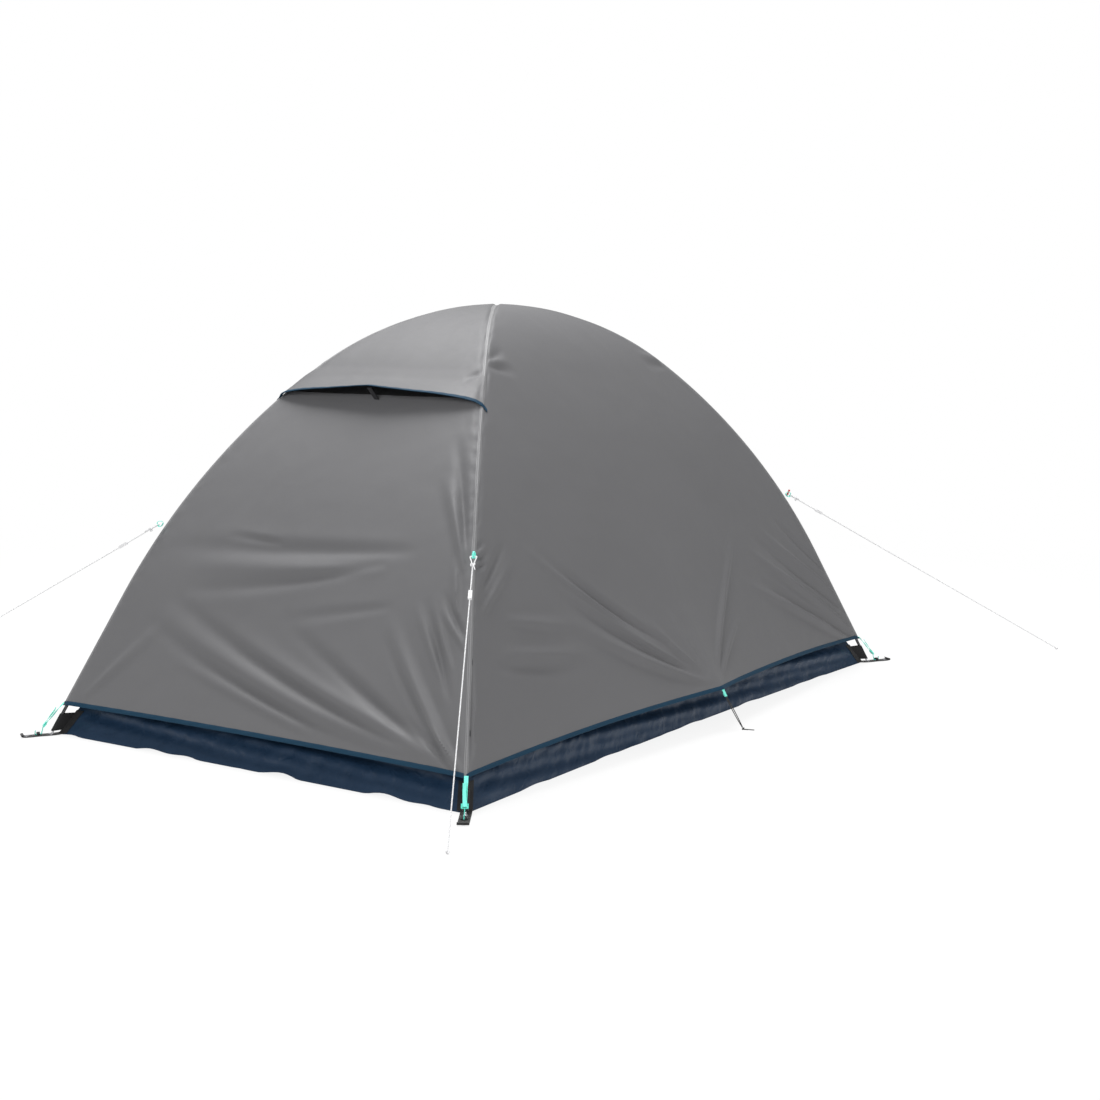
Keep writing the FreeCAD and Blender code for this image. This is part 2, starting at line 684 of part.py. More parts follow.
def circle_at(sketch, x, y, radius):
    """A circle whose centre and radius are expressions."""
    circle = sketch.addGeometry(Part.Circle(Vector(1, 1, 0), Vector(0, 0, 1), 1), False)
    radius_at = sketch.addConstraint(Sketcher.Constraint("Radius", circle, 1))
    sketch.setExpression("Constraints[%d]" % radius_at, radius)
    for kind, place in (("DistanceX", x), ("DistanceY", y)):
        if place is None:
            ends = (circle, 3, -1, 1)
            line_kind = "Vertical" if kind == "DistanceX" else "Horizontal"
            sketch.addConstraint(Sketcher.Constraint(line_kind, *ends))
        else:
            place_at = sketch.addConstraint(Sketcher.Constraint(kind, -1, 1, circle, 3, 1))
            sketch.setExpression("Constraints[%d]" % place_at, place)


def pad(body, sketch, name, length, middle=False):
    item = body.newObject("PartDesign::Pad", name)
    item.Profile = sketch
    item.setExpression("Length", length)
    item.Midplane = middle
    return item


def pocket_through(body, sketch, name):
    item = body.newObject("PartDesign::Pocket", name)
    item.Profile = sketch
    item.Type = "ThroughAll"
    item.Midplane = True
    return item


def corner_strap_body():
    """Black webbing lying outwards from a floor corner, with its two grommet holes.
    Its length runs along the sketch's X, from the floor corner."""
    body = doc.addObject("PartDesign::Body", "strap_pattern")
    outline = sketch_on(body, "XY_Plane", "strap_outline")
    centred_rectangle(outline, "Sizes.strap_length", "Sizes.strap_width")
    pad(body, outline, "strap_pad", "Sizes.strap_thickness")
    holes = sketch_on(body, "XY_Plane", "strap_holes")
    rim = "Sizes.grommet_rim + Sizes.seam_play"
    foot = "Sizes.ridge_overhang - Sizes.ridge_standoff / sin(Sizes.leg_slope) - Sizes.seam_play"
    circle_at(holes, foot + " - Sizes.strap_length / 2", None, "Sizes.tip_hole / 2 + " + rim)
    circle_at(holes, "Sizes.strap_length / 2 - Sizes.peg_inset", None, "Sizes.peg_hole / 2 + " + rim)
    pocket_through(body, holes, "strap_hole_cut")
    return body


straps = corner_strap_body()
doc.recompute()
strap_middle = floor_diagonal + play + size("strap_length") / 2
strap = straps.Shape.copy()
strap.translate(Vector(strap_middle, 0, 0))

# a webbing arch sewn on the strap takes the flysheet's corner hook
SEWN_DEPTH = 0.2
keeper_at = pole_arch.foot + size("keeper_place")
keeper_low = size("strap_thickness")
half_keeper = size("keeper_width") / 2
keeper_side = Vector(keeper_at - half_keeper, 0, keeper_low)
keeper_radius = size("keeper_radius")
keeper_bore = keeper_radius - size("keeper_wall")
keeper = Part.makeCylinder(keeper_radius, size("keeper_width"), keeper_side, Vector(1, 0, 0))
keeper = keeper.cut(Part.makeCylinder(keeper_bore, size("keeper_width"), keeper_side, Vector(1, 0, 0)))
upper_half_box = Part.makeBox(size("keeper_width"), 2 * keeper_radius, keeper_radius,
                              keeper_side - Vector(0, keeper_radius, SEWN_DEPTH))
keeper = keeper.common(upper_half_box)
feature("corner_straps", at_corners(strap.fuse(keeper)))


def grommet(reach, hole):
    inside = hole / 2
    ring = Part.makeCylinder(inside + size("grommet_rim"), size("grommet_height"), Vector(reach, 0, 0))
    return ring.cut(Part.makeCylinder(inside, size("grommet_height"), Vector(reach, 0, 0)))


peg_reach = floor_diagonal + play + size("strap_length") - size("peg_inset")
corner_rings = [grommet(pole_arch.foot, size("tip_hole")), grommet(peg_reach, size("peg_hole"))]
feature("corner_grommets", at_corners(Part.makeCompound(corner_rings)))


# ---------------------------------------------------------------- cords and tapes
def rounded_path(points, radii):
    """Straight runs joined by tangent arcs, one radius for each inner point."""
    edges = []
    last = points[0]
    for before, corner, after, radius in zip(points, points[1:], points[2:], radii):
        to_before = (before - corner).normalize()
        to_after = (after - corner).normalize()
        half = to_before.getAngle(to_after) / 2
        setback = radius / math.tan(half)
        start = corner + to_before * setback
        end = corner + to_after * setback
        bisector = (to_before + to_after).normalize()
        middle = corner + bisector * (radius / math.sin(half) - radius)
        edges.append(Part.LineSegment(last, start).toShape())
        edges.append(Part.Arc(start, middle, end).toShape())
        last = end
    edges.append(Part.LineSegment(last, points[-1]).toShape())
    return Part.Wire(edges)


def tube(path, radius):
    first = path.Edges[0]
    ring = Part.Wire(Part.makeCircle(radius, first.valueAt(first.FirstParameter),
                                     first.tangentAt(first.FirstParameter)))
    return path.makePipeShell([ring], True, False)


def slab(start, end, width, thickness):
    """A flat tape in the plane of a corner, from start to end, its width across that plane."""
    along = end - start
    length = along.Length
    along.normalize()
    normal = Vector(-along.z, 0, along.x)
    frame = Matrix(along.x, 0, normal.x, start.x, 0, 1, 0, 0, along.z, 0, normal.z, start.z, 0, 0, 0, 1)
    tape = Part.makeBox(length, width, thickness, Vector(0, -width / 2, -thickness / 2))
    return tape.transformGeometry(frame)


# mint tape, adjuster and hook that stretch each flysheet corner to its black strap
SLOT_SHARES = (0.28, 0.72)
hem_reach, hem_low, _ = fly_arch.at(hem_run)
hook_height = keeper_low + size("hook_wire") / 2 + size("hook_clearance")
hook_top = Vector(keeper_at - size("hook_back"), 0, hook_height + size("hook_rise"))
tape_top = Vector(hem_reach + size("tape_out"), 0, hem_low - size("tape_under"))
tape_line = (hook_top - tape_top).normalize()
adjuster_low = hook_top - tape_line * 2 * play
adjuster_top = adjuster_low - tape_line * size("adjuster_length")
feature("tension_tapes", at_corners(slab(tape_top, adjuster_top - tape_line * play,
                                         size("tension_width"), size("tension_thickness"))))
adjuster = slab(adjuster_top, adjuster_low, size("adjuster_width"), size("adjuster_thickness"))
slot_half = tape_line * size("adjuster_slot") / 2
slot_width = size("tension_width") + 2 * size("adjuster_play")
for share in SLOT_SHARES:
    middle = adjuster_top + (adjuster_low - adjuster_top) * share
    slot = slab(middle - slot_half, middle + slot_half, slot_width, 2 * size("adjuster_thickness"))
    adjuster = adjuster.cut(slot)
feature("tension_adjusters", at_corners(adjuster))
hook_points = [hook_top,
               Vector(keeper_at - size("hook_heel"), 0, hook_height),
               Vector(keeper_at + size("hook_toe"), 0, hook_height),
               Vector(keeper_at + size("hook_tip"), 0, hook_height + size("hook_tip_rise"))]
hook_path = rounded_path(hook_points, (size("hook_heel_bend"), size("hook_toe_bend")))
feature("tension_hooks", at_corners(tube(hook_path, size("hook_wire") / 2)))


# guy lines: each in a frame with X down the line and Y level across it
class GuyFrame:
    """The origin is the middle of the mint loop, which stands off the ridge."""

    def __init__(self, corner):
        turn = math.radians(CORNER_TURNS[corner])
        reach, height, slope = fly_arch.at(fly_arch.run_at(size("guy_height")))
        stand = size("guy_loop_radius") + size("guy_loop_stand")
        reach += stand * math.sin(slope)
        height += stand * math.cos(slope)
        self.loop = Vector(reach * math.cos(turn), reach * math.sin(turn), height)
        end_height = size("knot_radius") + play
        across = size("floor_width") / 2 + GUY_GROUND[corner][0]
        along = size("floor_length") / 2 + GUY_GROUND[corner][1]
        self.end = Vector(math.copysign(across, math.cos(turn)),
                          math.copysign(along, math.sin(turn)), end_height)
        self.along = (self.end - self.loop).normalize()
        self.level = Vector(0, 0, 1).cross(self.along).normalize()
        self.up = self.along.cross(self.level)

    def length(self):
        return (self.end - self.loop).Length

    def placement(self, distance):
        """Placement of something made about its own origin, this far down the line."""
        base = self.loop + self.along * distance
        return Placement(Matrix(self.along.x, self.level.x, self.up.x, base.x,
                                self.along.y, self.level.y, self.up.y, base.y,
                                self.along.z, self.level.z, self.up.z, base.z, 0, 0, 0, 1))


KNOT_ROUNDING = 0.75


def knot_shape(radius):
    """A tight knot about the origin, its ends along X."""
    barrel = Part.makeCylinder(radius, 2 * radius, Vector(-radius, 0, 0), Vector(1, 0, 0))
    rims = [edge for edge in barrel.Edges if edge.Closed]
    return barrel.makeFillet(KNOT_ROUNDING * radius, rims)


def band(radius, wall_thickness, width):
    """A loop of webbing about the Y axis."""
    start = Vector(0, -width / 2, 0)
    outside = Part.makeCylinder(radius, width, start, Vector(0, 1, 0))
    return outside.cut(Part.makeCylinder(radius - wall_thickness, width, start, Vector(0, 1, 0)))


loop_radius = size("guy_loop_radius")
loop_inside = loop_radius - size("guy_loop_wall")
cord_radius = size("guy_diameter") / 2
hitch_near = loop_inside - cord_radius - size("hitch_play")
hitch_half = size("guy_loop_width") / 2 + cord_radius + size("hitch_side")
knot_at = hitch_near + size("hitch_length")
strand = size("hitch_gap") / 2
hitch_points = [Vector(knot_at, -strand, 0), Vector(hitch_near, -hitch_half, 0),
                Vector(hitch_near, hitch_half, 0), Vector(knot_at, strand, 0)]
hitch_bend = size("hitch_bend")
hitch = tube(rounded_path(hitch_points, (hitch_bend, hitch_bend)), cord_radius)
guy_knot = knot_shape(size("knot_radius"))
hitch_knot = guy_knot.copy()
hitch_knot.translate(Vector(knot_at, 0, 0))
hitch = hitch.fuse(hitch_knot)
line_start = knot_at + size("knot_radius")
guy_loops = []
guy_knots = []
for corner in GUY_GROUND:
    guy = GuyFrame(corner)
    loop = band(loop_radius, size("guy_loop_wall"), size("guy_loop_width"))
    loop.Placement = guy.placement(0)
    guy_loops.append(loop)
    tied = hitch.copy()
    tied.Placement = guy.placement(0)
    guy_knots.append(tied)
    end_knot = guy_knot.copy()
    end_knot.Placement = guy.placement(guy.length())
    guy_knots.append(end_knot)
    line_end = guy.length() - size("knot_radius")
    line = Part.makeCylinder(cord_radius, line_end - line_start, Vector(line_start, 0, 0), Vector(1, 0, 0))
    line.Placement = guy.placement(0)
    feature("guy_line_" + corner, line)
    body = keep(doc.addObject("PartDesign::Body", "guy_runner_" + corner))
    body.Label = "guy_runner_" + corner
    outline = sketch_on(body, "YZ_Plane", "runner_outline_" + corner)
    centred_rectangle(outline, "Sizes.runner_width", "Sizes.runner_thickness")
    pad(body, outline, "runner_pad_" + corner, "Sizes.runner_length", True)
    hole = sketch_on(body, "YZ_Plane", "runner_hole_" + corner)
    circle_at(hole, None, None, "Sizes.guy_diameter / 2 + Sizes.runner_play")
    pocket_through(body, hole, "runner_bore_" + corner)
    body.Placement = guy.placement(size("runner_place"))
feature("guy_loops", Part.makeCompound(guy_loops))
feature("guy_knots", Part.makeCompound(guy_knots))

marker_guy = GuyFrame("front_left")
marker = Part.makeBox(size("marker_width"), size("marker_thickness"), size("marker_length"),
                      Vector(hitch_near - cord_radius - play - size("marker_width"),
                             size("guy_loop_width") / 2 + play, -size("marker_length") / 3))
marker.Placement = marker_guy.placement(0)
feature("marker_tag", marker)

# pull-out points in the middle of the long sides
side_hem_run = hem_run - side_climb(0)
side_hem = wall_point(fly_arch, False, 1, 0, side_hem_run, side_lift(0, side_hem_run) - cloth / 2)
tab_top = side_hem.z - play
tab = Part.makeBox(size("tension_thickness"), size("tab_width"), size("tab_length"),
                   Vector(side_hem.x - size("tension_thickness") / 2, -size("tab_width") / 2,
                          tab_top - size("tab_length")))
tab_mirror = tab.mirror(Vector(0, 0, 0), Vector(1, 0, 0))
feature("side_tabs", Part.makeCompound([tab, tab_mirror]))
side_knots = []
for label, sign in (("side_cord_left", -1), ("side_cord_right", 1)):
    start = Vector(sign * side_hem.x, 0, tab_top - size("tab_length") - size("side_cord_diameter") / 4)
    cord_end = size("floor_width") / 2 + SIDE_CORD_GROUND[0]
    end = Vector(sign * cord_end, SIDE_CORD_GROUND[1], size("side_knot_radius") + play)
    along = (end - start).normalize()
    length = (end - start).Length - size("side_knot_radius")
    feature(label, Part.makeCylinder(size("side_cord_diameter") / 2, length, start, along))
    knot = knot_shape(size("side_knot_radius"))
    knot.Placement = Placement(end, Rotation(Vector(1, 0, 0), along))
    side_knots.append(knot)
feature("side_knots", Part.makeCompound(side_knots))


# ---------------------------------------------------------------- zip sliders and pullers
def zip_frame(arch, height, half_width, lean, sign, face):
    """Placement on a straight door zip: X across, Y up the zip, Z away from the cloth.
    face is 1 on the outside of the wall and -1 on the inside."""
    run = arch.run_at(height)
    level = play + zip_proud
    level = level if face > 0 else -cloth - level
    share = sign * half_width / (arch.at(run)[0] * math.cos(diagonal))
    here = wall_point(arch, True, -1, share, run, level)
    here.x = sign * half_width
    slope = arch.at(run)[2]
    depth_step = math.cos(slope) * math.sin(diagonal) / math.sin(slope)
    up = Vector(-sign * lean, depth_step, 1).normalize()
    out = Vector(0, -1, depth_step).normalize() * face
    side = up.cross(out).normalize()
    return Placement(Matrix(side.x, up.x, out.x, here.x, side.y, up.y, out.y, here.y,
                            side.z, up.z, out.z, here.z, 0, 0, 0, 1))


pivot_z = size("slider_thickness") + size("pivot_height")
cheek_at = size("pull_width") / 2 + play


def zip_slider(name, place):
    """The slider's plate, two ears and the pivot pin between them. X runs across the
    zip, Y along it and Z away from the cloth."""
    body = keep(doc.addObject("PartDesign::Body", name))
    body.Label = name
    cheeks = sketch_on(body, "YZ_Plane", name + "_ear_outline")
    centred_rectangle(cheeks, "Sizes.cheek_length",
                      "2 * (Sizes.slider_thickness + Sizes.pivot_height + Sizes.pivot_diameter)")
    between = "Sizes.pull_width + 2 * Sizes.seam_play"
    above = "4 * Sizes.slider_thickness + 4 * Sizes.pivot_height"
    pad(body, cheeks, name + "_ears", between + " + 2 * Sizes.cheek_thickness", True)
    room = sketch_on(body, "YZ_Plane", name + "_room_outline")
    centred_rectangle(room, "2 * Sizes.slider_length", above)
    cut = body.newObject("PartDesign::Pocket", name + "_room")
    cut.Profile = room
    cut.Midplane = True
    cut.setExpression("Length", between)
    plate = sketch_on(body, "XY_Plane", name + "_plate_outline")
    centred_rectangle(plate, "Sizes.slider_width", "Sizes.slider_length")
    pad(body, plate, name + "_plate", "Sizes.slider_thickness")
    pin = sketch_on(body, "YZ_Plane", name + "_pin_outline")
    circle_at(pin, None, "Sizes.slider_thickness + Sizes.pivot_height", "Sizes.pivot_diameter / 2")
    pad(body, pin, name + "_pin", between + " + Sizes.cheek_thickness", True)
    under = sketch_on(body, "XY_Plane", name + "_under_outline")
    centred_rectangle(under, "2 * Sizes.slider_width", "2 * Sizes.slider_length")
    trim = body.newObject("PartDesign::Pocket", name + "_under")
    trim.Profile = under
    trim.setExpression("Length", above)
    body.Placement = place
    return body


def zip_pull(name, place):
    """The puller: an eye on the pivot and a flat tongue, lying down along the zip."""
    body = keep(doc.addObject("PartDesign::Body", name))
    body.Label = name
    eye = sketch_on(body, "YZ_Plane", name + "_eye_outline")
    circle_at(eye, None, None, "Sizes.pull_eye / 2")
    pad(body, eye, name + "_eye", "Sizes.pull_width", True)
    tongue = sketch_on(body, "XZ_Plane", name + "_tongue_outline")
    centred_rectangle(tongue, "Sizes.pull_width", "Sizes.pull_thickness")
    pad(body, tongue, name + "_tongue", "Sizes.pull_length")
    hole = sketch_on(body, "YZ_Plane", name + "_hole_outline")
    circle_at(hole, None, None, "Sizes.pivot_diameter / 2 + Sizes.pivot_play")
    pocket_through(body, hole, name + "_hole")
    body.Placement = place.multiply(Placement(Vector(0, 0, pivot_z), Rotation()))
    return body


fly_lean = (size("fly_door_bottom") - size("fly_door_top")) / 2 / size("fly_door_height")
slider_height = size("hem_height") + size("slider_start")
fly_half = size("fly_door_bottom") / 2 - fly_lean * slider_height - zip_width / 2
for side, sign in (("left", -1), ("right", 1)):
    place = zip_frame(fly_arch, slider_height, fly_half, fly_lean, sign, 1)
    zip_slider("fly_zip_slider_" + side, place)
    zip_pull("fly_zip_pull_" + side, place)

inner_tall = size("inner_door_high") - size("inner_door_low")
inner_lean = (size("inner_door_bottom") - size("inner_door_top")) / 2 / inner_tall
inner_slider_height = size("inner_door_low") + size("slider_start")
inner_half = size("inner_door_bottom") / 2 - inner_lean * size("slider_start") - zip_width / 2
place = zip_frame(inner_arch, inner_slider_height, inner_half, inner_lean, 1, -1)
zip_slider("inner_zip_slider", place)
zip_pull("inner_zip_pull", place)

# ---------------------------------------------------------------- vent prop and lantern ring
PROP_INSET = 4.0
prop_run = vent_run - PROP_INSET
prop_pivot = wall_point(fly_arch, True, 1, 0, prop_run, size("prop_pivot"))
prop_tail = size("prop_thickness") / 2
hood_inside = hood_lift(0, prop_run) - cloth - size("binding_proud")
prop_length = hood_inside - size("prop_pivot") - size("prop_play") + prop_tail
prop_foot = wall_point(fly_arch, True, 1, 0, prop_run, 0)
prop_normal = (prop_pivot - prop_foot).normalize()
prop = keep(doc.addObject("Part::Box", "vent_prop"))
prop.Label = "vent_prop"
prop.setExpression("Length", "Sizes.prop_width")
prop.setExpression("Width", "Sizes.prop_thickness")
prop.Height = prop_length
prop_base = prop_pivot - prop_normal * prop_tail
prop_side = Vector(0, prop_normal.z, -prop_normal.y)
prop_corner = prop_base - Vector(size("prop_width") / 2, 0, 0) - prop_side * size("prop_thickness") / 2
prop.Placement = Placement(Matrix(1, 0, 0, prop_corner.x, 0, prop_side.y, prop_normal.y, prop_corner.y,
                                  0, prop_side.z, prop_normal.z, prop_corner.z, 0, 0, 0, 1))

ceiling = inner_arch.top - cloth
lantern_loop = band(size("lantern_loop_radius"), size("guy_loop_wall"), size("lantern_loop_width"))
lantern_loop.Placement = Placement(Vector(0, 0, ceiling - play - size("lantern_loop_radius")),
                                   Rotation(Vector(0, 0, 1), 90))
feature("lantern_loop", lantern_loop)
lantern_pivot = ceiling - play - 2 * size("lantern_loop_radius") + size("guy_loop_wall")
lantern_pivot += size("lantern_drop") + size("lantern_wire") / 2
ring = keep(doc.addObject("Part::Torus", "lantern_ring"))
ring.Label = "lantern_ring"
ring.setExpression("Radius1", "Sizes.lantern_radius")
ring.setExpression("Radius2", "Sizes.lantern_wire / 2")
ring_middle = Vector(0, 0, lantern_pivot - size("lantern_radius"))
ring.Placement = Placement(ring_middle, Rotation(Vector(1, 0, 0), 90))

# ---------------------------------------------------------------- check and write
doc.recompute()
for item in doc.Objects:
    if "Invalid" in item.State or "Error" in item.State:
        raise RuntimeError("%s did not recompute: %s" % (item.Label, item.State))
for item in parts:
    if item.Shape.isNull() or not item.Shape.isValid():
        raise RuntimeError("%s has no valid shape" % item.Label)
    if not item.Shape.Solids:
        raise RuntimeError("%s holds no solid" % item.Label)

os.makedirs("parts", exist_ok=True)
for item in parts:
    item.Shape.exportStep("parts/%s.step" % item.Label)
    box = item.Shape.BoundBox
    print("%-24s %2d solids %10.1f mm3  x %8.1f %8.1f  y %8.1f %8.1f  z %7.2f %7.2f" % (
        item.Label, len(item.Shape.Solids), item.Shape.Volume,
        box.XMin, box.XMax, box.YMin, box.YMax, box.ZMin, box.ZMax))
print("%d sub-parts" % len(parts))
print("arch radii %.1f %.1f, pole length %.1f" % (pole_arch.crown, pole_arch.shoulder, 2 * pole_arch.length()))
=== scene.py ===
# %% [markdown]
# # A two-person dome tent
# The metal and plastic parts of this tent come ready made as a fixed frame. These cells
# add what a frame can't show: cloth that hangs in soft folds, taped hems, webbing, knots
# and cords, and a finish for every surface. All lengths are in metres, the ground is at
# z = 0, +Y points to the vented rear end and the door looks along -Y.

# %% Load the frame
import math
import bmesh
import bpy
import numpy as np
from mathutils import Matrix, Vector, noise


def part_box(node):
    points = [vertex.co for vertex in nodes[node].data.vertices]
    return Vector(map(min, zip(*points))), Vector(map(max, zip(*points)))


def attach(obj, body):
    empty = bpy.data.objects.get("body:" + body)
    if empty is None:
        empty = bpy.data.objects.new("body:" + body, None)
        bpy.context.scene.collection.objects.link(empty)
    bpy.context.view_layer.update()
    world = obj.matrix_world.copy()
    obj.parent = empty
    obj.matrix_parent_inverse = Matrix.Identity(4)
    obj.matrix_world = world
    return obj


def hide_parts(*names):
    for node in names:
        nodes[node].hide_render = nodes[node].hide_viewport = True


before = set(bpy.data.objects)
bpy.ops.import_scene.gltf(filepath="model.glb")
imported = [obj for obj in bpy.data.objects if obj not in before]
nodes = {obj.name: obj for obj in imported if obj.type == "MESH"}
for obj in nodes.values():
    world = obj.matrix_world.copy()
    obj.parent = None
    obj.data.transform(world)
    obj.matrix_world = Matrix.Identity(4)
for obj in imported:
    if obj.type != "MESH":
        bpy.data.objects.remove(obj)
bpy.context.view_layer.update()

# %% [markdown]
# ## Working by hand, in code
# An operator acts on everything that is selected, just as it does in the window. So a
# small helper first drops every selection and picks one object. Another adds a modifier
# and applies it at once, so that each finished piece is a plain mesh.

# %% Helpers for picking and for modifiers
def deselect():
    bpy.ops.object.select_all(action="DESELECT")


def mode(name):
    bpy.ops.object.mode_set(mode=name)


def pick(piece):
    """Make one object the only selected and active one."""
    deselect()
    piece.select_set(True)
    bpy.context.view_layer.objects.active = piece


def modify(piece, kind, **values):
    """Add a modifier, set its values and apply it."""
    pick(piece)
    modifier = piece.modifiers.new(kind.lower(), kind)
    for name, value in values.items():
        setattr(modifier, name, value)
    bpy.ops.object.modifier_apply(modifier=modifier.name)
    return piece


def put_place_in_mesh():
    bpy.ops.object.transform_apply(location=True, rotation=True, scale=True)


def smooth(piece, angle):
    """Shade a piece smooth, except at edges sharper than the angle."""
    pick(piece)
    bpy.ops.object.shade_smooth_by_angle(angle=math.radians(angle))
    return piece


def select_where(piece, kind, test):
    """In edit mode, select the edges or faces that pass a test."""
    shape = bmesh.from_edit_mesh(piece.data)
    shape.select_mode = {kind}
    for group in (shape.verts, shape.edges, shape.faces):
        for element in group:
            element.select = False
    for element in {"EDGE": shape.edges, "FACE": shape.faces}[kind]:
        if test(element):
            element.select_set(True)
    shape.select_flush_mode()
    bmesh.update_edit_mesh(piece.data)


def outward(piece):
    """Merge doubles and turn every face outwards."""
    pick(piece)
    mode("EDIT")
    bpy.ops.mesh.select_all(action="SELECT")
    bpy.ops.mesh.remove_doubles(threshold=0.00001)
    bpy.ops.mesh.normals_make_consistent(inside=False)
    mode("OBJECT")


def add_object(name, data):
    """A new object for a mesh, a curve, a lamp or a camera."""
    piece = bpy.data.objects.new(name, data)
    bpy.context.scene.collection.objects.link(piece)
    return piece


def copy_to(piece, name, matrix):
    """A copy with its own mesh, moved to its place inside that mesh."""
    mesh = piece.data.copy()
    mesh.name = name
    mesh.transform(matrix)
    return add_object(name, mesh)


def finish_with(piece, material):
    piece.data.materials.clear()
    piece.data.materials.append(material)


def drop(piece):
    """Remove a pattern piece once its copies are made."""
    bpy.data.objects.remove(piece)

# %% [markdown]
# ## Floor, light and camera
# The floor is a pale sheet, and the light is soft: one broad lamp high above, a little
# behind the tent, and two weak ones at its sides. Light from above is what makes a fold
# in grey cloth read as a bright crest beside a dark hollow. The backdrop is white for
# the camera alone, so that it doesn't flatten the folds. The camera stands near the
# ground beyond the rear left corner.

# %% Floor, light and camera
CAMERA_TARGET = Vector((-0.127, -0.086, 0.425))
CAMERA_TURN = 124.09
CAMERA_RISE = 7.89
CAMERA_ROLL = 0.124
CAMERA_DISTANCE = 5.324
CAMERA_LENS = 60.6
FLOOR_SIZE = 60.0
FLOOR_DROP = 0.0006
WORLD_LIGHT = 0.30

scene = bpy.context.scene
scene.view_settings.view_transform = "Standard"
turn, rise = math.radians(CAMERA_TURN), math.radians(CAMERA_RISE)
back = Vector((math.cos(turn) * math.cos(rise), math.sin(turn) * math.cos(rise), math.sin(rise)))
right = Vector((-math.sin(turn), math.cos(turn), 0))
upward = back.cross(right)
facing = Matrix((right, upward, back)).transposed().to_4x4()
camera_data = bpy.data.cameras.new("camera")
camera_data.lens = CAMERA_LENS
camera_data.sensor_width = 36
camera_data.clip_start = 0.05
camera = add_object("camera", camera_data)
stand = Matrix.Translation(CAMERA_TARGET + back * CAMERA_DISTANCE)
camera.matrix_world = stand @ facing @ Matrix.Rotation(math.radians(CAMERA_ROLL), 4, "Z")
scene.camera = camera

world = bpy.data.worlds.new("studio")
scene.world = world
world.use_nodes = True
tree = world.node_tree
ambient = tree.nodes["Background"]
backdrop = tree.nodes.new("ShaderNodeBackground")
for light in (ambient, backdrop):
    light.inputs["Color"].default_value = (1, 1, 1, 1)
ambient.inputs["Strength"].default_value = WORLD_LIGHT
seen = tree.nodes.new("ShaderNodeLightPath")
either = tree.nodes.new("ShaderNodeMixShader")
for number, source in enumerate((seen.outputs["Is Camera Ray"], ambient.outputs[0], backdrop.outputs[0])):
    tree.links.new(source, either.inputs[number])
tree.links.new(either.outputs[0], tree.nodes["World Output"].inputs["Surface"])


def lamp(name, place, aim, size, power):
    """A square lamp that looks at a place."""
    data = bpy.data.lights.new(name, "AREA")
    data.shape, data.size, data.energy = "SQUARE", size, power
    light = add_object(name, data)
    light.location = place
    light.rotation_mode = "QUATERNION"
    light.rotation_quaternion = (Vector(aim) - Vector(place)).to_track_quat("-Z", "Y")


lamp("top_lamp", (1.4, -0.5, 5.4), (0, 0, 0.4), 3.6, 395)
lamp("rear_lamp", (-1.2, 5.3, 3.0), (0, 0, 0.5), 2.0, 120)
lamp("side_lamp", (-5.2, 0.2, 3.4), (0, 0, 0.5), 2.4, 92)

deselect()
bpy.ops.mesh.primitive_plane_add(size=FLOOR_SIZE, location=(0, 0, -FLOOR_DROP))
floor = bpy.context.object
floor.name = "floor"
print("camera at", [round(v, 3) for v in camera.matrix_world.translation])

# %% [markdown]
# ## How a pole bends, and the cloth between two of them
# Each pole is a crown arc, a shoulder arc and a straight leg that run smoothly into each
# other, in the upright plane through two opposite corners. The flysheet's ridges follow
# the same line a little further out. A place on a wall is given by its share, from -1
# at one ridge to 1 at the other, and by its run, the length down the ridge from the crown.

# %% The bent line
FLOOR_WIDTH, FLOOR_LENGTH = 1.34, 2.10
TENT_HEIGHT = 1.127
RIDGE_OVERHANG = 0.036
LEG_SLOPE, LEG_RUN, CROWN_ANGLE = math.radians(60), 0.42, math.radians(35)
RIDGE_STANDOFF, INNER_STANDOFF = 0.014, 0.042
HEM_HEIGHT, TUB_HEIGHT, BINDING_WIDTH = 0.079, 0.110, 0.012
FLOOR_DIAGONAL = math.hypot(FLOOR_WIDTH, FLOOR_LENGTH) / 2
DIAGONAL = math.atan2(FLOOR_LENGTH, FLOOR_WIDTH)
CORNERS = {
    "rear_right": DIAGONAL,
    "rear_left": math.pi - DIAGONAL,
    "front_left": math.pi + DIAGONAL,
    "front_right": -DIAGONAL,
}


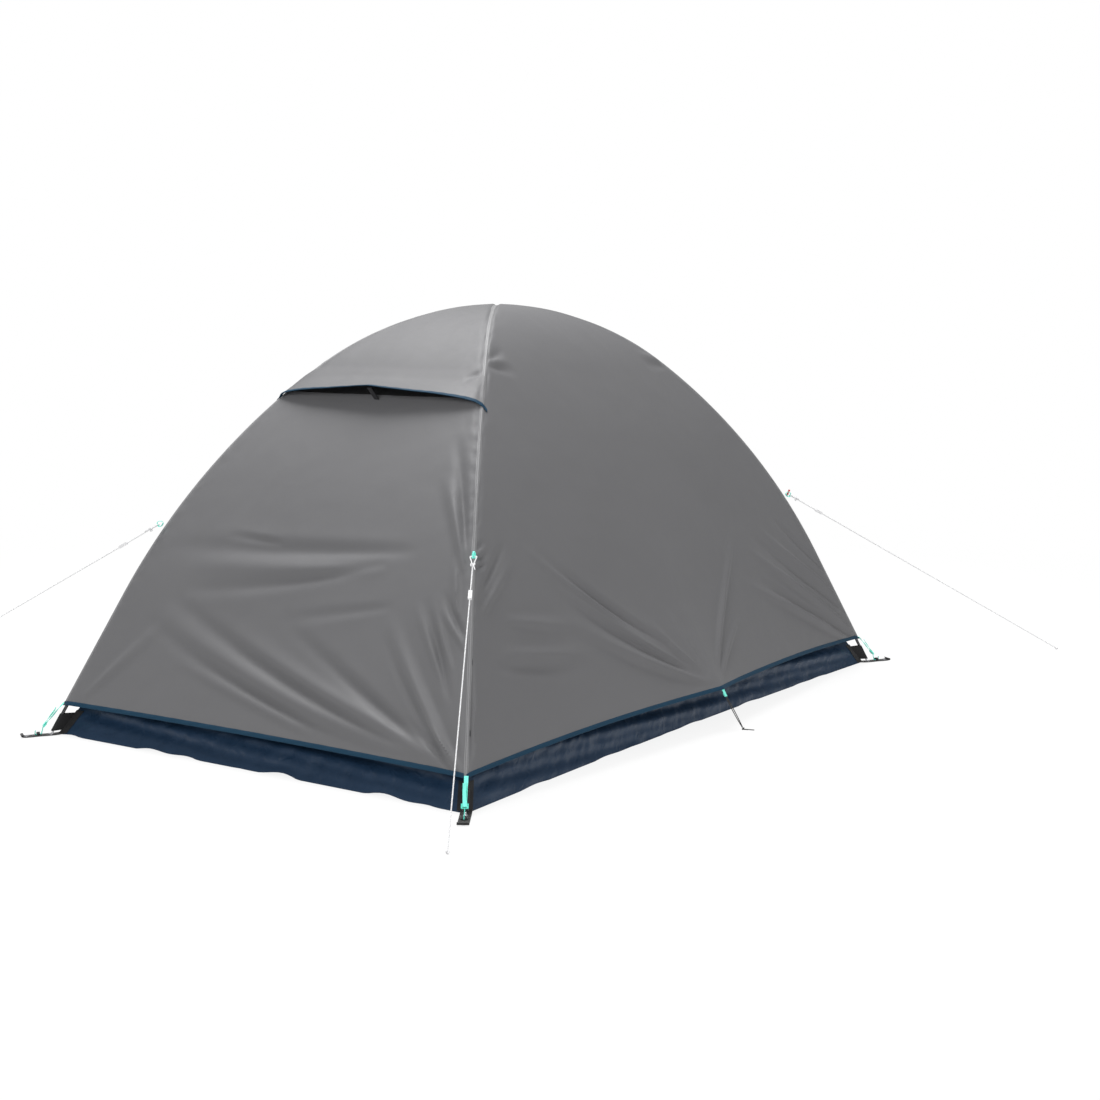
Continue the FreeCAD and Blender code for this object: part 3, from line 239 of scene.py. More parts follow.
class Arch:
    """The bent line of a pole, or a line parallel to it."""

    def __init__(self, foot, top, leg=LEG_RUN, crown=None, shoulder=None):
        self.foot, self.top, self.leg = foot, top, leg
        if crown is None:
            sin_c, cos_c = math.sin(CROWN_ANGLE), math.cos(CROWN_ANGLE)
            sin_l, cos_l = math.sin(LEG_SLOPE), math.cos(LEG_SLOPE)
            width, fall = foot - leg * cos_l, top - leg * sin_l
            scale = sin_c * (cos_c - cos_l) - (sin_l - sin_c) * (1 - cos_c)
            crown = (width * (cos_c - cos_l) - fall * (sin_l - sin_c)) / scale
            shoulder = (sin_c * fall - (1 - cos_c) * width) / scale
        self.crown, self.shoulder = crown, shoulder
        self.crown_end = crown * CROWN_ANGLE
        self.shoulder_end = self.crown_end + shoulder * (LEG_SLOPE - CROWN_ANGLE)
        self.length = self.shoulder_end + leg

    def offset(self, distance):
        return Arch(self.foot + distance / math.sin(LEG_SLOPE), self.top + distance,
                    self.leg + distance / math.tan(LEG_SLOPE), self.crown + distance,
                    self.shoulder + distance)

    def at(self, run):
        """Reach, height and slope, for one run or an array of runs."""
        run = np.asarray(run, float)
        slope = np.where(run < self.crown_end, run / self.crown,
                         CROWN_ANGLE + (run - self.crown_end) / self.shoulder)
        slope = np.minimum(slope, LEG_SLOPE)
        turned = np.minimum(slope, CROWN_ANGLE)
        reach = self.crown * np.sin(turned) + self.shoulder * (np.sin(slope) - np.sin(turned))
        height = self.top - self.crown * (1 - np.cos(turned))
        height = height - self.shoulder * (np.cos(turned) - np.cos(slope))
        straight = np.maximum(0, run - self.shoulder_end)
        return reach + straight * math.cos(LEG_SLOPE), height - straight * math.sin(LEG_SLOPE), slope

    def run_at(self, height):
        """The run down to a height, for one height or an array."""
        low = np.zeros_like(np.asarray(height, float))
        high = low + self.length + 0.2
        for _ in range(50):
            middle = (low + high) / 2
            above = self.at(middle)[1] > height
            low, high = np.where(above, middle, low), np.where(above, high, middle)
        return (low + high) / 2


FLY = Arch(FLOOR_DIAGONAL + RIDGE_OVERHANG, TENT_HEIGHT)
INNER = FLY.offset(-RIDGE_STANDOFF - INNER_STANDOFF)
HEM_RUN = float(FLY.run_at(HEM_HEIGHT))
print("pole arcs %.3f and %.3f m, ridge %.3f m long" % (FLY.crown, FLY.shoulder, 2 * FLY.length))

# %% [markdown]
# ## Cords first
# Four white guy lines run taut from a tied eye in a mint loop on each ridge to a knot at
# the ground. What holds that knot, a peg, isn't part of the tent. A line this light and
# this taut has next to no sag, so its points lie on one straight line, and the runner
# slides along it without leaving its hole. A doubled black cord goes from a tab in the
# middle of each long side to a knot with a loose tail on the ground.

# %% The frame of a guy line
GUY_GROUND = {
    "rear_left": (-0.818, 1.313),
    "front_left": (-1.108, -1.608),
    "rear_right": (1.362, 1.232),
    "front_right": (1.100, -1.600),
}
GUY_HEIGHT, GUY_LOOP_RADIUS, GUY_LOOP_STAND = 0.541, 0.009, 0.0008
KNOT_RADIUS, CORD_DIAMETER, SEAM_PLAY = 0.0036, 0.003, 0.0003
EYE_START, EYE_LENGTH = 0.0052, 0.026


def guy_frame(corner):
    """A matrix with X down the line from the middle of its mint loop, and its length."""
    reach, height, slope = (float(v) for v in FLY.at(FLY.run_at(GUY_HEIGHT)))
    stand = GUY_LOOP_RADIUS + GUY_LOOP_STAND
    reach += stand * math.sin(slope)
    height += stand * math.cos(slope)
    angle = CORNERS[corner]
    loop = Vector((reach * math.cos(angle), reach * math.sin(angle), height))
    end = Vector((*GUY_GROUND[corner], KNOT_RADIUS + SEAM_PLAY))
    along = (end - loop).normalized()
    level = Vector((0, 0, 1)).cross(along).normalized()
    axes = Matrix((along, level, along.cross(level))).transposed().to_4x4()
    return Matrix.Translation(loop) @ axes, (end - loop).length


def cord_curve(name, points, diameter):
    """One smooth open spline with the points as its control points."""
    data = bpy.data.curves.new(name, "CURVE")
    data.dimensions = "3D"
    data.bevel_depth = diameter / 2
    data.bevel_resolution = 3
    data.resolution_u = 12
    data.use_fill_caps = True
    spline = data.splines.new("NURBS")
    spline.points.add(len(points) - 1)
    for point, co in zip(spline.points, points):
        point.co = (*co, 1)
    spline.order_u = 3
    spline.use_endpoint_u = True
    return add_object(name, data)


def run_length(points):
    return sum((b - a).length for a, b in zip(points, points[1:]))

# %% Guy lines
LINE_START = EYE_START + EYE_LENGTH + KNOT_RADIUS
guy_lines = {}
for corner in GUY_GROUND:
    matrix, length = guy_frame(corner)
    spots = (LINE_START, 0.19, 0.5 * length, length - 0.12, length - KNOT_RADIUS)
    points = [matrix @ Vector((along, 0, 0)) for along in spots]
    line = cord_curve("guy_line_" + corner + "_cord", points, CORD_DIAMETER)
    guy_lines[corner] = (line, points)
    print(line.name, "%.3f m" % run_length(points))

# %% [markdown]
# The tied eye is the same cord, led through the mint loop and back to a knot. Here it is
# a bevelled curve that is turned into a mesh. The knot is an overhand knot: a strand that
# winds three times through itself on a closed path, which a short formula gives.

# %% Eyes and knots
def cord_mesh(name, points, diameter, closed=False):
    """A cord shape as a mesh, along a smooth path."""
    piece = cord_curve(name, points, diameter)
    piece.data.splines[0].use_cyclic_u = closed
    piece.data.splines[0].use_endpoint_u = not closed
    piece.data.resolution_u = 5
    pick(piece)
    bpy.ops.object.convert(target="MESH")
    return bpy.context.object


def join(pieces, name):
    """Join several objects into the first of them."""
    pick(pieces[0])
    for piece in pieces[1:]:
        piece.select_set(True)
    bpy.ops.object.join()
    pieces[0].name = name
    pieces[0].data.name = name
    return pieces[0]


def overhand(name, size, diameter, centre):
    """A tight overhand knot about its centre, with its ends along X."""
    turns = [i / 24 * 2 * math.pi for i in range(24)]
    loop = [Vector((-math.sin(3 * t) * 0.62, math.sin(t) * 0.42 + 0.55 * math.sin(2 * t),
                    math.cos(t) * 0.42 - 0.55 * math.cos(2 * t))) * size + centre for t in turns]
    return cord_mesh(name, loop, diameter, True)


EYE_HALF = 0.0077
EYE_STRANDS = 0.0014
knot_centre = EYE_START + EYE_LENGTH
half_eye = [(knot_centre, EYE_STRANDS), (EYE_START + 0.014, 0.0042), (EYE_START + 0.004, EYE_HALF),
            (EYE_START, EYE_HALF)]
eye_path = [(a, -b) for a, b in half_eye] + [(EYE_START, 0)] + half_eye[::-1]
eye = cord_mesh("eye", [Vector((a, b, 0)) for a, b in eye_path], CORD_DIAMETER)
eye_knot = overhand("eye_knot", 0.0052, 0.0034, Vector((knot_centre, 0, 0)))
tail = cord_mesh("tail", [Vector((knot_centre, 0, 0.001)), Vector((knot_centre + 0.007, 0.004, 0.0045)),
                          Vector((knot_centre + 0.0150, 0.006, 0.002))], 0.0028)
tied_eye = join([eye, eye_knot, tail], "tied_eye")
end_knot = overhand("end_knot", 0.0040, 0.0030, Vector())
guy_ties, guy_ends = {}, {}
for corner in GUY_GROUND:
    matrix, length = guy_frame(corner)
    guy_ties[corner] = copy_to(tied_eye, "guy_eye_" + corner, matrix)
    guy_ends[corner] = copy_to(end_knot, "guy_end_knot_" + corner,
                               matrix @ Matrix.Translation((length, 0, 0)))
drop(tied_eye)
drop(end_knot)
print("tied 4 eyes and 4 end knots")

# %% [markdown]
# The side cords leave the tab as two strands and meet in one knot, whose loose tail lies
# on the ground.

# %% Side cords
STRAND_DIAMETER, STRAND_GAP = 0.0024, 0.0016
SIDE_GROUND = (0.796, -0.022)
side_low, side_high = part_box("side_tabs")
side_cords = []
side_knots = {}
for side, sign in (("left", -1), ("right", 1)):
    top = Vector((sign * (side_high.x + 0.0095), 0, side_low.z + 0.0012))
    ground = Vector((sign * SIDE_GROUND[0], SIDE_GROUND[1], 0.0026))
    for strand, shift in (("a", -STRAND_GAP), ("b", STRAND_GAP)):
        start = top + Vector((0, shift, 0))
        middle = start.lerp(ground, 0.5) + Vector((0, 3.6 * shift, -0.0008))
        low = ground + (top - ground).normalized() * 0.0042 + Vector((0, shift * 0.5, 0))
        cord = cord_curve("side_cord_%s_%s" % (side, strand), [start, middle, low], STRAND_DIAMETER)
        side_cords.append((cord, [start, middle, low], side))
    knot = overhand("side_knot_" + side, 0.0036, 0.0022, Vector())
    outward_step = Vector((sign, -0.25, 0)).normalized()
    tail_points = [Vector((0, 0, -0.0008)), outward_step * 0.008 + Vector((0, 0, -0.0014)),
                   outward_step * 0.020 + Vector((0, -0.002, -0.0017)),
                   outward_step * 0.031 + Vector((0, 0.001, -0.0011))]
    loose = cord_mesh("tail", tail_points, STRAND_DIAMETER)
    second = cord_mesh("tail", [p * 0.45 + Vector((0, 0.0022, -0.0008)) for p in tail_points],
                       STRAND_DIAMETER)
    tied = join([knot, loose, second], "side_knot_" + side)
    tied.data.transform(Matrix.Translation(ground))
    side_knots[side] = tied
print("side cords:", ["%s %.3f m" % (c.name, run_length(p)) for c, p, _ in side_cords])

# %% [markdown]
# ## Finishes
# Every cloth here has the same make-up: a weave whose threads follow the cloth, which
# its UV map carries in metres, a soft unevenness of tone, and a small relief. Effects
# that several finishes share are node groups: the weave, the unevenness, rows of
# stitches, and worn spots. The shader itself stays in each material.

# %% Helpers for node trees
def link_in(tree, node, inputs):
    for key, value in inputs.items():
        if isinstance(value, bpy.types.NodeSocket):
            tree.links.new(value, node.inputs[key])
        else:
            node.inputs[key].default_value = value


def add(tree, kind, inputs=None, **settings):
    """A node with its settings, and its inputs linked or set."""
    made = tree.nodes.new("ShaderNode" + kind)
    for name, value in settings.items():
        setattr(made, name, value)
    link_in(tree, made, inputs or {})
    return made


def maths(tree, operation, first, second=0.0, third=0.0):
    return add(tree, "Math", {0: first, 1: second, 2: third}, operation=operation).outputs[0]


def times(tree, first, second):
    return maths(tree, "MULTIPLY", first, second)


def plus(tree, first, second):
    return maths(tree, "ADD", first, second)


def mix(tree, share, first, second):
    """A colour between two colours."""
    return add(tree, "Mix", {0: share, 6: first, 7: second}, data_type="RGBA").outputs[2]


def bumps(tree, height, strength, distance):
    return add(tree, "Bump", {"Height": height, "Strength": strength, "Distance": distance}).outputs[0]


def tint(colour, factor, step=0.0):
    """A colour made darker or lighter, with its alpha."""
    return [min(1, c * factor + step) for c in colour] + [1]


def new_material(name):
    """A material, its node tree, its shader and the places its patterns follow."""
    material = bpy.data.materials.new(name)
    material.use_nodes = True
    tree = material.node_tree
    return material, tree, tree.nodes["Principled BSDF"], add(tree, "TexCoord").outputs


def new_group(name, inputs, outputs):
    """A node group with named sockets, and its two end nodes."""
    group = bpy.data.node_groups.new(name, "ShaderNodeTree")
    for label, kind, value in inputs:
        socket = group.interface.new_socket(label, in_out="INPUT", socket_type="NodeSocket" + kind)
        if value is not None:
            socket.default_value = value
    for label, kind in outputs:
        group.interface.new_socket(label, in_out="OUTPUT", socket_type="NodeSocket" + kind)
    return group, group.nodes.new("NodeGroupInput").outputs, group.nodes.new("NodeGroupOutput").inputs


def place_group(tree, group, inputs):
    made = tree.nodes.new("ShaderNodeGroup")
    made.node_tree = group
    link_in(tree, made, inputs)
    return made.outputs

# %% Weave, unevenness, stitches and wear
WEAVE, given, out = new_group("weave", [("Place", "Vector", None), ("Threads", "Float", 1500.0)],
                              [("Height", "Float"), ("Thread", "Float")])
across = add(WEAVE, "SeparateXYZ", {0: given["Place"]}).outputs
warp = maths(WEAVE, "SINE", times(WEAVE, across[0], given["Threads"]))
weft = maths(WEAVE, "SINE", times(WEAVE, across[1], given["Threads"]))
crossing = times(WEAVE, warp, weft)
WEAVE.links.new(maths(WEAVE, "MULTIPLY_ADD", crossing, 0.5, 0.5), out["Height"])
WEAVE.links.new(maths(WEAVE, "ABSOLUTE", crossing), out["Thread"])

UNEVEN, given, out = new_group("uneven tone", [("Place", "Vector", None), ("Broad", "Float", 2.2),
                               ("Fine", "Float", 60.0)], [("Tone", "Float"), ("Fibre", "Float")])
broad = add(UNEVEN, "TexNoise", {"Vector": given["Place"], "Scale": given["Broad"], "Detail": 4.0}).outputs[0]
fine = add(UNEVEN, "TexNoise", {"Vector": given["Place"], "Scale": given["Fine"], "Detail": 6.0}).outputs[0]
mixed = plus(UNEVEN, times(UNEVEN, broad, 0.65), times(UNEVEN, fine, 0.35))
UNEVEN.links.new(mixed, out["Tone"])
UNEVEN.links.new(fine, out["Fibre"])

STITCH, given, out = new_group("stitch row", [("Place", "Vector", None), ("Row", "Float", 0.0),
                               ("Pitch", "Float", 0.0035), ("Thickness", "Float", 0.0006)],
                               [("Mask", "Float")])
along = add(STITCH, "SeparateXYZ", {0: given["Place"]}).outputs
beside = maths(STITCH, "ABSOLUTE", maths(STITCH, "SUBTRACT", along[1], given["Row"]))
near = maths(STITCH, "LESS_THAN", beside, given["Thickness"])
phase = maths(STITCH, "FRACT", maths(STITCH, "DIVIDE", along[0], given["Pitch"]))
STITCH.links.new(times(STITCH, near, maths(STITCH, "LESS_THAN", phase, 0.72)), out["Mask"])

WEAR, given, out = new_group("worn spots", [("Place", "Vector", None), ("Size", "Float", 90.0),
                             ("Amount", "Float", 0.35)], [("Mask", "Float")])
spots = add(WEAR, "TexNoise", {"Vector": given["Place"], "Scale": given["Size"], "Detail": 8.0,
                               "Roughness": 0.7}).outputs[0]
edge = maths(WEAR, "SUBTRACT", 1.0, given["Amount"])
ramp = times(WEAR, maths(WEAR, "SUBTRACT", spots, times(WEAR, edge, 0.8)), 9.0)
clamped = add(WEAR, "Clamp", {0: ramp}).outputs[0]
WEAR.links.new(clamped, out["Mask"])
print("node groups:", [g.name for g in (WEAVE, UNEVEN, STITCH, WEAR)])

# %% [markdown]
# A cloth finish takes its colour, how much that colour wanders, the number of threads
# and where its rows of stitches lie. Nylon and polyester have a soft gloss at a flat
# angle, which the shader's sheen gives.

# %% Cloth finishes
def cloth_finish(name, colour, wander=0.10, threads=9000.0, relief=0.00008, roughness=0.58,
                 sheen=0.15, rows=(), thread_colour=None, fine=60.0, shine=0.3, crinkle=0.0):
    """A woven cloth, tape or webbing. rows lists where stitches run, across the tape."""
    material, tree, shader, coordinates = new_material(name)
    cloth_place = coordinates["UV"]
    weave = place_group(tree, WEAVE, {"Place": cloth_place, "Threads": threads})
    tone = place_group(tree, UNEVEN, {"Place": coordinates["Object"], "Fine": fine})
    cloth = mix(tree, tone["Tone"], tint(colour, 1 - wander), tint(colour, 1 + wander))
    threads_mask = times(tree, maths(tree, "SUBTRACT", 1.0, weave["Thread"]), 0.35)
    cloth = mix(tree, threads_mask, cloth, tint(colour, 0.72))
    height = times(tree, weave["Height"], relief * 1000)
    height = plus(tree, height, times(tree, tone["Fibre"], relief * 1500))
    if crinkle:
        creases = add(tree, "TexNoise", {"Vector": cloth_place, "Scale": 38.0, "Detail": 5.0, "Distortion": 0.8})
        creases.noise_type = "RIDGED_MULTIFRACTAL"
        height = plus(tree, height, times(tree, creases.outputs[0], crinkle))
    for row in rows:
        mask = place_group(tree, STITCH, {"Place": cloth_place, "Row": row})["Mask"]
        thread = [*thread_colour, 1] if thread_colour else tint(colour, 2.2, 0.02)
        cloth = mix(tree, mask, cloth, thread)
        height = plus(tree, height, times(tree, mask, 0.4))
    rough = maths(tree, "MULTIPLY_ADD", tone["Fibre"], 0.16, roughness - 0.08)
    bump = bumps(tree, height, 0.35, 0.001)
    link_in(tree, shader, {"Base Color": cloth, "Roughness": rough, "Normal": bump})
    shader.inputs["Sheen Weight"].default_value = sheen
    shader.inputs["Sheen Roughness"].default_value = 0.4
    shader.inputs["Specular IOR Level"].default_value = shine
    return material


fly_cloth = cloth_finish("grey_fly_cloth", (0.145, 0.145, 0.150), wander=0.06, sheen=0.06,
                         roughness=0.50, shine=0.2, crinkle=0.5)
# painted highlight: the seam cloth is a paler grey than the fly, for the light band that sheen gives the ridge
fly_seam_painted_highlight = cloth_finish("grey_fly_seam", (0.235, 0.235, 0.240), wander=0.05, rows=(-0.0028, 0.0028),
                        thread_colour=(0.10, 0.10, 0.105), roughness=0.5)
navy_tape = cloth_finish("navy_binding_tape", (0.0090, 0.041, 0.077), threads=5200.0, relief=0.0002,
                         rows=(0.0095,), thread_colour=(0.02, 0.05, 0.085), roughness=0.7, sheen=0.03, shine=0.15)
tub_cloth = cloth_finish("navy_tub_cloth", (0.0104, 0.0310, 0.0680), wander=0.25, threads=3600.0,
                         relief=0.00018, roughness=0.46, sheen=0.0, fine=25.0, shine=0.3, crinkle=5.0)
inner_cloth = cloth_finish("pale_inner_cloth", (0.55, 0.56, 0.57), sheen=0.2, roughness=0.75)
black_webbing = cloth_finish("black_webbing", (0.010, 0.010, 0.011), threads=4200.0, relief=0.0004,
                             wander=0.3, roughness=0.72, sheen=0.3)
mint_webbing = cloth_finish("mint_webbing", (0.20, 0.90, 0.74), threads=4600.0, relief=0.0003,
                            wander=0.12, roughness=0.62, sheen=0.2)
red_tape = cloth_finish("red_marker_tape", (0.58, 0.03, 0.04), threads=5200.0, relief=0.0002,
                        roughness=0.6)
zip_tape = cloth_finish("black_zip_tape", (0.016, 0.016, 0.018), threads=6000.0, relief=0.0002,
                        roughness=0.7)

# %% [markdown]
# Hard parts have their own finishes: drawn glass fibre, plated steel, moulded plastic
# with a fine grain, and painted zip metal. Here wear shows as rough, paler spots. Net is a
# cloth that is mostly holes, so its finish has a pattern
# of alpha.

# %% Hard finishes
def hard_finish(name, colour, roughness, metallic=0.0, grain=500.0, relief=0.2, wear=0.3,
                worn=None, coat=0.0):
    """Plastic, fibre or metal, with a fine grain and worn spots."""
    material, tree, shader, coordinates = new_material(name)
    place = coordinates["Object"]
    tone = place_group(tree, UNEVEN, {"Place": place, "Broad": 14.0, "Fine": grain})
    spots = place_group(tree, WEAR, {"Place": place, "Amount": wear})["Mask"]
    base = mix(tree, tone["Tone"], tint(colour, 0.86), tint(colour, 1.14))
    paler = [*worn, 1] if worn else tint(colour, 1.5, 0.02)
    base = mix(tree, times(tree, spots, 0.45), base, paler)
    rough = plus(tree, maths(tree, "MULTIPLY_ADD", tone["Fibre"], 0.18, roughness - 0.09),
                  times(tree, spots, 0.14))
    bump = bumps(tree, tone["Fibre"], relief, 0.0003)
    link_in(tree, shader, {"Base Color": base, "Roughness": rough, "Normal": bump})
    shader.inputs["Metallic"].default_value = metallic
    shader.inputs["Coat Weight"].default_value = coat
    return material


fibreglass = hard_finish("drawn_fibreglass", (0.035, 0.035, 0.038), 0.32, coat=0.3, grain=900.0)
steel = hard_finish("plated_steel", (0.55, 0.55, 0.57), 0.30, metallic=1.0, grain=1600.0,
                    worn=(0.4, 0.39, 0.37))
black_plastic = hard_finish("black_moulded_plastic", (0.018, 0.018, 0.020), 0.46)
mint_plastic = hard_finish("mint_moulded_plastic", (0.11, 0.72, 0.57), 0.33, coat=0.2, relief=0.1)
white_plastic = hard_finish("white_moulded_plastic", (0.72, 0.72, 0.73), 0.42)
zip_metal = hard_finish("painted_zip_metal", (0.03, 0.03, 0.034), 0.35, metallic=0.6,
                        worn=(0.35, 0.34, 0.33))
zip_coil = hard_finish("nylon_zip_coil", (0.022, 0.022, 0.025), 0.4)
FLOOR_NEAR, FLOOR_FAR, FLOOR_GLOW = 1.9, 4.2, 0.86
floor_finish = hard_finish("pale_studio_floor", (0.93, 0.93, 0.93), 0.9, grain=8.0, relief=0.0, wear=0.0,
                           worn=(0.93, 0.93, 0.93))
tree = floor_finish.node_tree
shader = tree.nodes["Principled BSDF"]
shader.inputs["Specular IOR Level"].default_value = 0.1
spot = add(tree, "TexCoord").outputs["Object"]
distance = add(tree, "VectorMath", {0: spot}, operation="LENGTH").outputs["Value"]
far = add(tree, "MapRange", {"Value": distance, 1: FLOOR_NEAR, 2: FLOOR_FAR, 3: FLOOR_GLOW},
          interpolation_type="SMOOTHSTEP").outputs[0]
glow = add(tree, "Emission", {"Strength": 1.0}).outputs[0]
blend = add(tree, "MixShader", {0: far, 1: shader.outputs[0], 2: glow}).outputs[0]
tree.links.new(blend, tree.nodes["Material Output"].inputs["Surface"])
floor.data.materials.append(floor_finish)


def cord_finish(name, colour):
    """Braided cord: two sets of strands that cross at a slant."""
    material, tree, shader, coordinates = new_material(name)
    place = coordinates["Object"]
    slanted = add(tree, "Mapping", {"Vector": place, "Rotation": (0.7, 0.5, 0.8)}).outputs[0]
    braid = place_group(tree, WEAVE, {"Place": slanted, "Threads": 900.0})
    tone = place_group(tree, UNEVEN, {"Place": place, "Fine": 700.0})
    base = mix(tree, braid["Height"], tint(colour, 0.72), tint(colour, 1.1))
    height = plus(tree, braid["Height"], tone["Fibre"])
    bump = bumps(tree, height, 0.4, 0.0004)
    rough = maths(tree, "MULTIPLY_ADD", tone["Fibre"], 0.2, 0.6)
    link_in(tree, shader, {"Base Color": base, "Roughness": rough, "Normal": bump})
    shader.inputs["Sheen Weight"].default_value = 0.2
    return material


white_cord = cord_finish("white_braided_cord", (0.80, 0.80, 0.81))
black_cord = cord_finish("black_braided_cord", (0.012, 0.012, 0.013))
grey_elastic = cord_finish("grey_elastic_cord", (0.16, 0.16, 0.17))

net, tree, shader, coordinates = new_material("black_vent_net")
place = coordinates["UV"]
weave = place_group(tree, WEAVE, {"Place": place, "Threads": 2600.0})
tone = place_group(tree, UNEVEN, {"Place": place, "Fine": 200.0})
link_in(tree, shader, {
    "Base Color": mix(tree, tone["Tone"], (0.008, 0.008, 0.009, 1), (0.022, 0.022, 0.025, 1)),
    "Alpha": maths(tree, "MAXIMUM", maths(tree, "LESS_THAN", weave["Thread"], 0.62), 0.25),
    "Normal": bumps(tree, weave["Height"], 0.4, 0.0004)})
shader.inputs["Roughness"].default_value = 0.8
print("finishes:", len(bpy.data.materials))

# %% [markdown]
# ## Cloth
# A sheet of cloth is a fine grid of points that is worked out from what pulls on it,
# because tight folds like these follow their pulls exactly: they fan out from a corner
# or a pull-out and die away in the middle of a panel. Each fold here is a crest with a
# hollow beside it, from a start to an end. A cloth simulation would need the same pulls,
# and for a stretched sheet gives no better folds in its time.

# %% From a grid to a sheet
def add_mesh(name, points, faces, material, places=None):
    """A mesh from points and faces. Its UV map holds a place on the cloth for every point."""
    mesh = bpy.data.meshes.new(name)
    mesh.from_pydata(points.reshape(-1, 3).tolist(), [], faces)
    if places is not None:
        looped = np.empty(len(mesh.loops), np.int32)
        mesh.loops.foreach_get("vertex_index", looped)
        layer = mesh.uv_layers.new(name="cloth")
        layer.data.foreach_set("uv", places.reshape(-1, 2)[looped].astype(np.float32).ravel())
    mesh.materials.append(material)
    return add_object(name, mesh)


def grid_sheet(name, grid, material, uv, thickness=0.0009, keep=None, centre=(0, 0, 0.35)):
    """A sheet from an array of points [i, j, 3] and its places on the cloth [i, j, 2]."""
    rows, columns = grid.shape[:2]
    index = np.arange(rows * columns).reshape(rows, columns)
    corners = np.stack([index[:-1, :-1], index[1:, :-1], index[1:, 1:], index[:-1, 1:]], axis=-1)
    faces = (corners if keep is None else corners[keep]).reshape(-1, 4)
    points = grid.reshape(-1, 3)
    first = faces[len(faces) // 2]
    normal = np.cross(points[first[1]] - points[first[0]], points[first[3]] - points[first[0]])
    if np.dot(normal, points[first[0]] - np.array(centre)) < 0:
        faces = faces[:, ::-1]
    piece = add_mesh(name, points, faces.tolist(), material, uv)
    if keep is not None:
        pick(piece)
        mode("EDIT")
        bpy.ops.mesh.select_all(action="SELECT")
        bpy.ops.mesh.delete_loose(use_verts=True, use_edges=True, use_faces=False)
        mode("OBJECT")
    modify(piece, "SOLIDIFY", thickness=thickness, offset=-1.0)
    return smooth(piece, 60)


sheets = {}


def add_sheet(name, grid, material, uv, **settings):
    """Make a sheet and keep it by its name, with its grid."""
    sheets[name] = (grid_sheet(name, grid, material, uv, **settings), grid)


def smooth_step(value, low, high):
    share = np.clip((value - low) / (high - low), 0, 1)
    return share * share * (3 - 2 * share)


def fold_relief(across, height, table):
    """Crests with a hollow beside each. A row is start, end, width at the end, rise and sag."""
    total = np.zeros_like(across)
    for start_a, start_h, end_a, end_h, width, rise, *sag in table:
        step_a, step_h = end_a - start_a, end_h - start_h
        length = math.hypot(step_a, step_h)
        share = ((across - start_a) * step_a + (height - start_h) * step_h) / length ** 2
        beside = ((across - start_a) * step_h - (height - start_h) * step_a) / length
        inside = np.clip(share, 0, 1)
        beside = beside - (sag[0] if sag else 0.0) * 4 * inside * (1 - inside)
        away = (beside / (width * (0.55 + 0.45 * inside))) ** 2
        fade = np.sin(math.pi * inside ** 0.75) ** 1.1
        total += rise * fade * (1.5 * np.exp(-away) - 0.5 * np.exp(-away / 4))
    return total


def crumple(across, height, size, seed):
    """Soft unevenness of a thin cloth, the same in every run of the script."""
    flat = np.empty(across.size)
    for place, (a, h) in enumerate(zip(across.ravel() / size, height.ravel() / size)):
        flat[place] = noise.noise(Vector((a, h, seed)))
    return flat.reshape(across.shape)

# %% [markdown]
# The folds are listed in millimetres for each wall: where a fold starts and ends,
# across the wall and in height, how wide it gets and how high it stands. On the rear wall they fan
# out from the rear left corner and lie level at half height. On a long side they fan out
# from the pull-out in the middle of its hem.

# %% Folds of each wall
def in_metres(table):
    return [[value / 1000 for value in row] for row in table]


# each row: start across and up, end across and up, width, rise, and sag where there is one
REAR_FOLDS = in_metres([
    (-500, 105, 460, 355, 24, 8.5, 30), (-520, 115, 420, 385, 20, -9, 24), (-630, 95, 180, 320, 30, 11, 12),
    (-540, 120, 0, 350, 20, -8.5), (-260, 120, 460, 310, 19, -6.5, 16), (-200, 110, 320, 230, 15, 4.5),
    (-640, 85, -320, 395, 20, 12.5, 8), (-600, 105, -330, 345, 11, -6, 10),
    (-570, 225, -415, 445, 15, -6.4), (-540, 255, -385, 435, 12, 5.4), (-550, 290, -435, 440, 10, 5.5),
    (-560, 365, -455, 465, 10, -6.5), (-570, 340, -460, 430, 9, 5.5), (-640, 80, -450, 185, 10, -6.5),
    (-640, 95, -480, 200, 10, 6.5), (-350, 540, 500, 490, 26, -8.2), (-280, 490, 400, 450, 24, 5),
    (-270, 505, 400, 390, 21, -6.4, 14), (-330, 415, 20, 350, 18, -3.8), (80, 530, 280, 535, 11, -4.5),
    (600, 100, 380, 320, 22, 4.6), (-500, 505, -335, 720, 17, 11, -6), (-480, 560, -310, 810, 16, -8, -10),
    (-520, 410, -460, 540, 11, 8), (-290, 960, -235, 935, 12, -5.5),
])
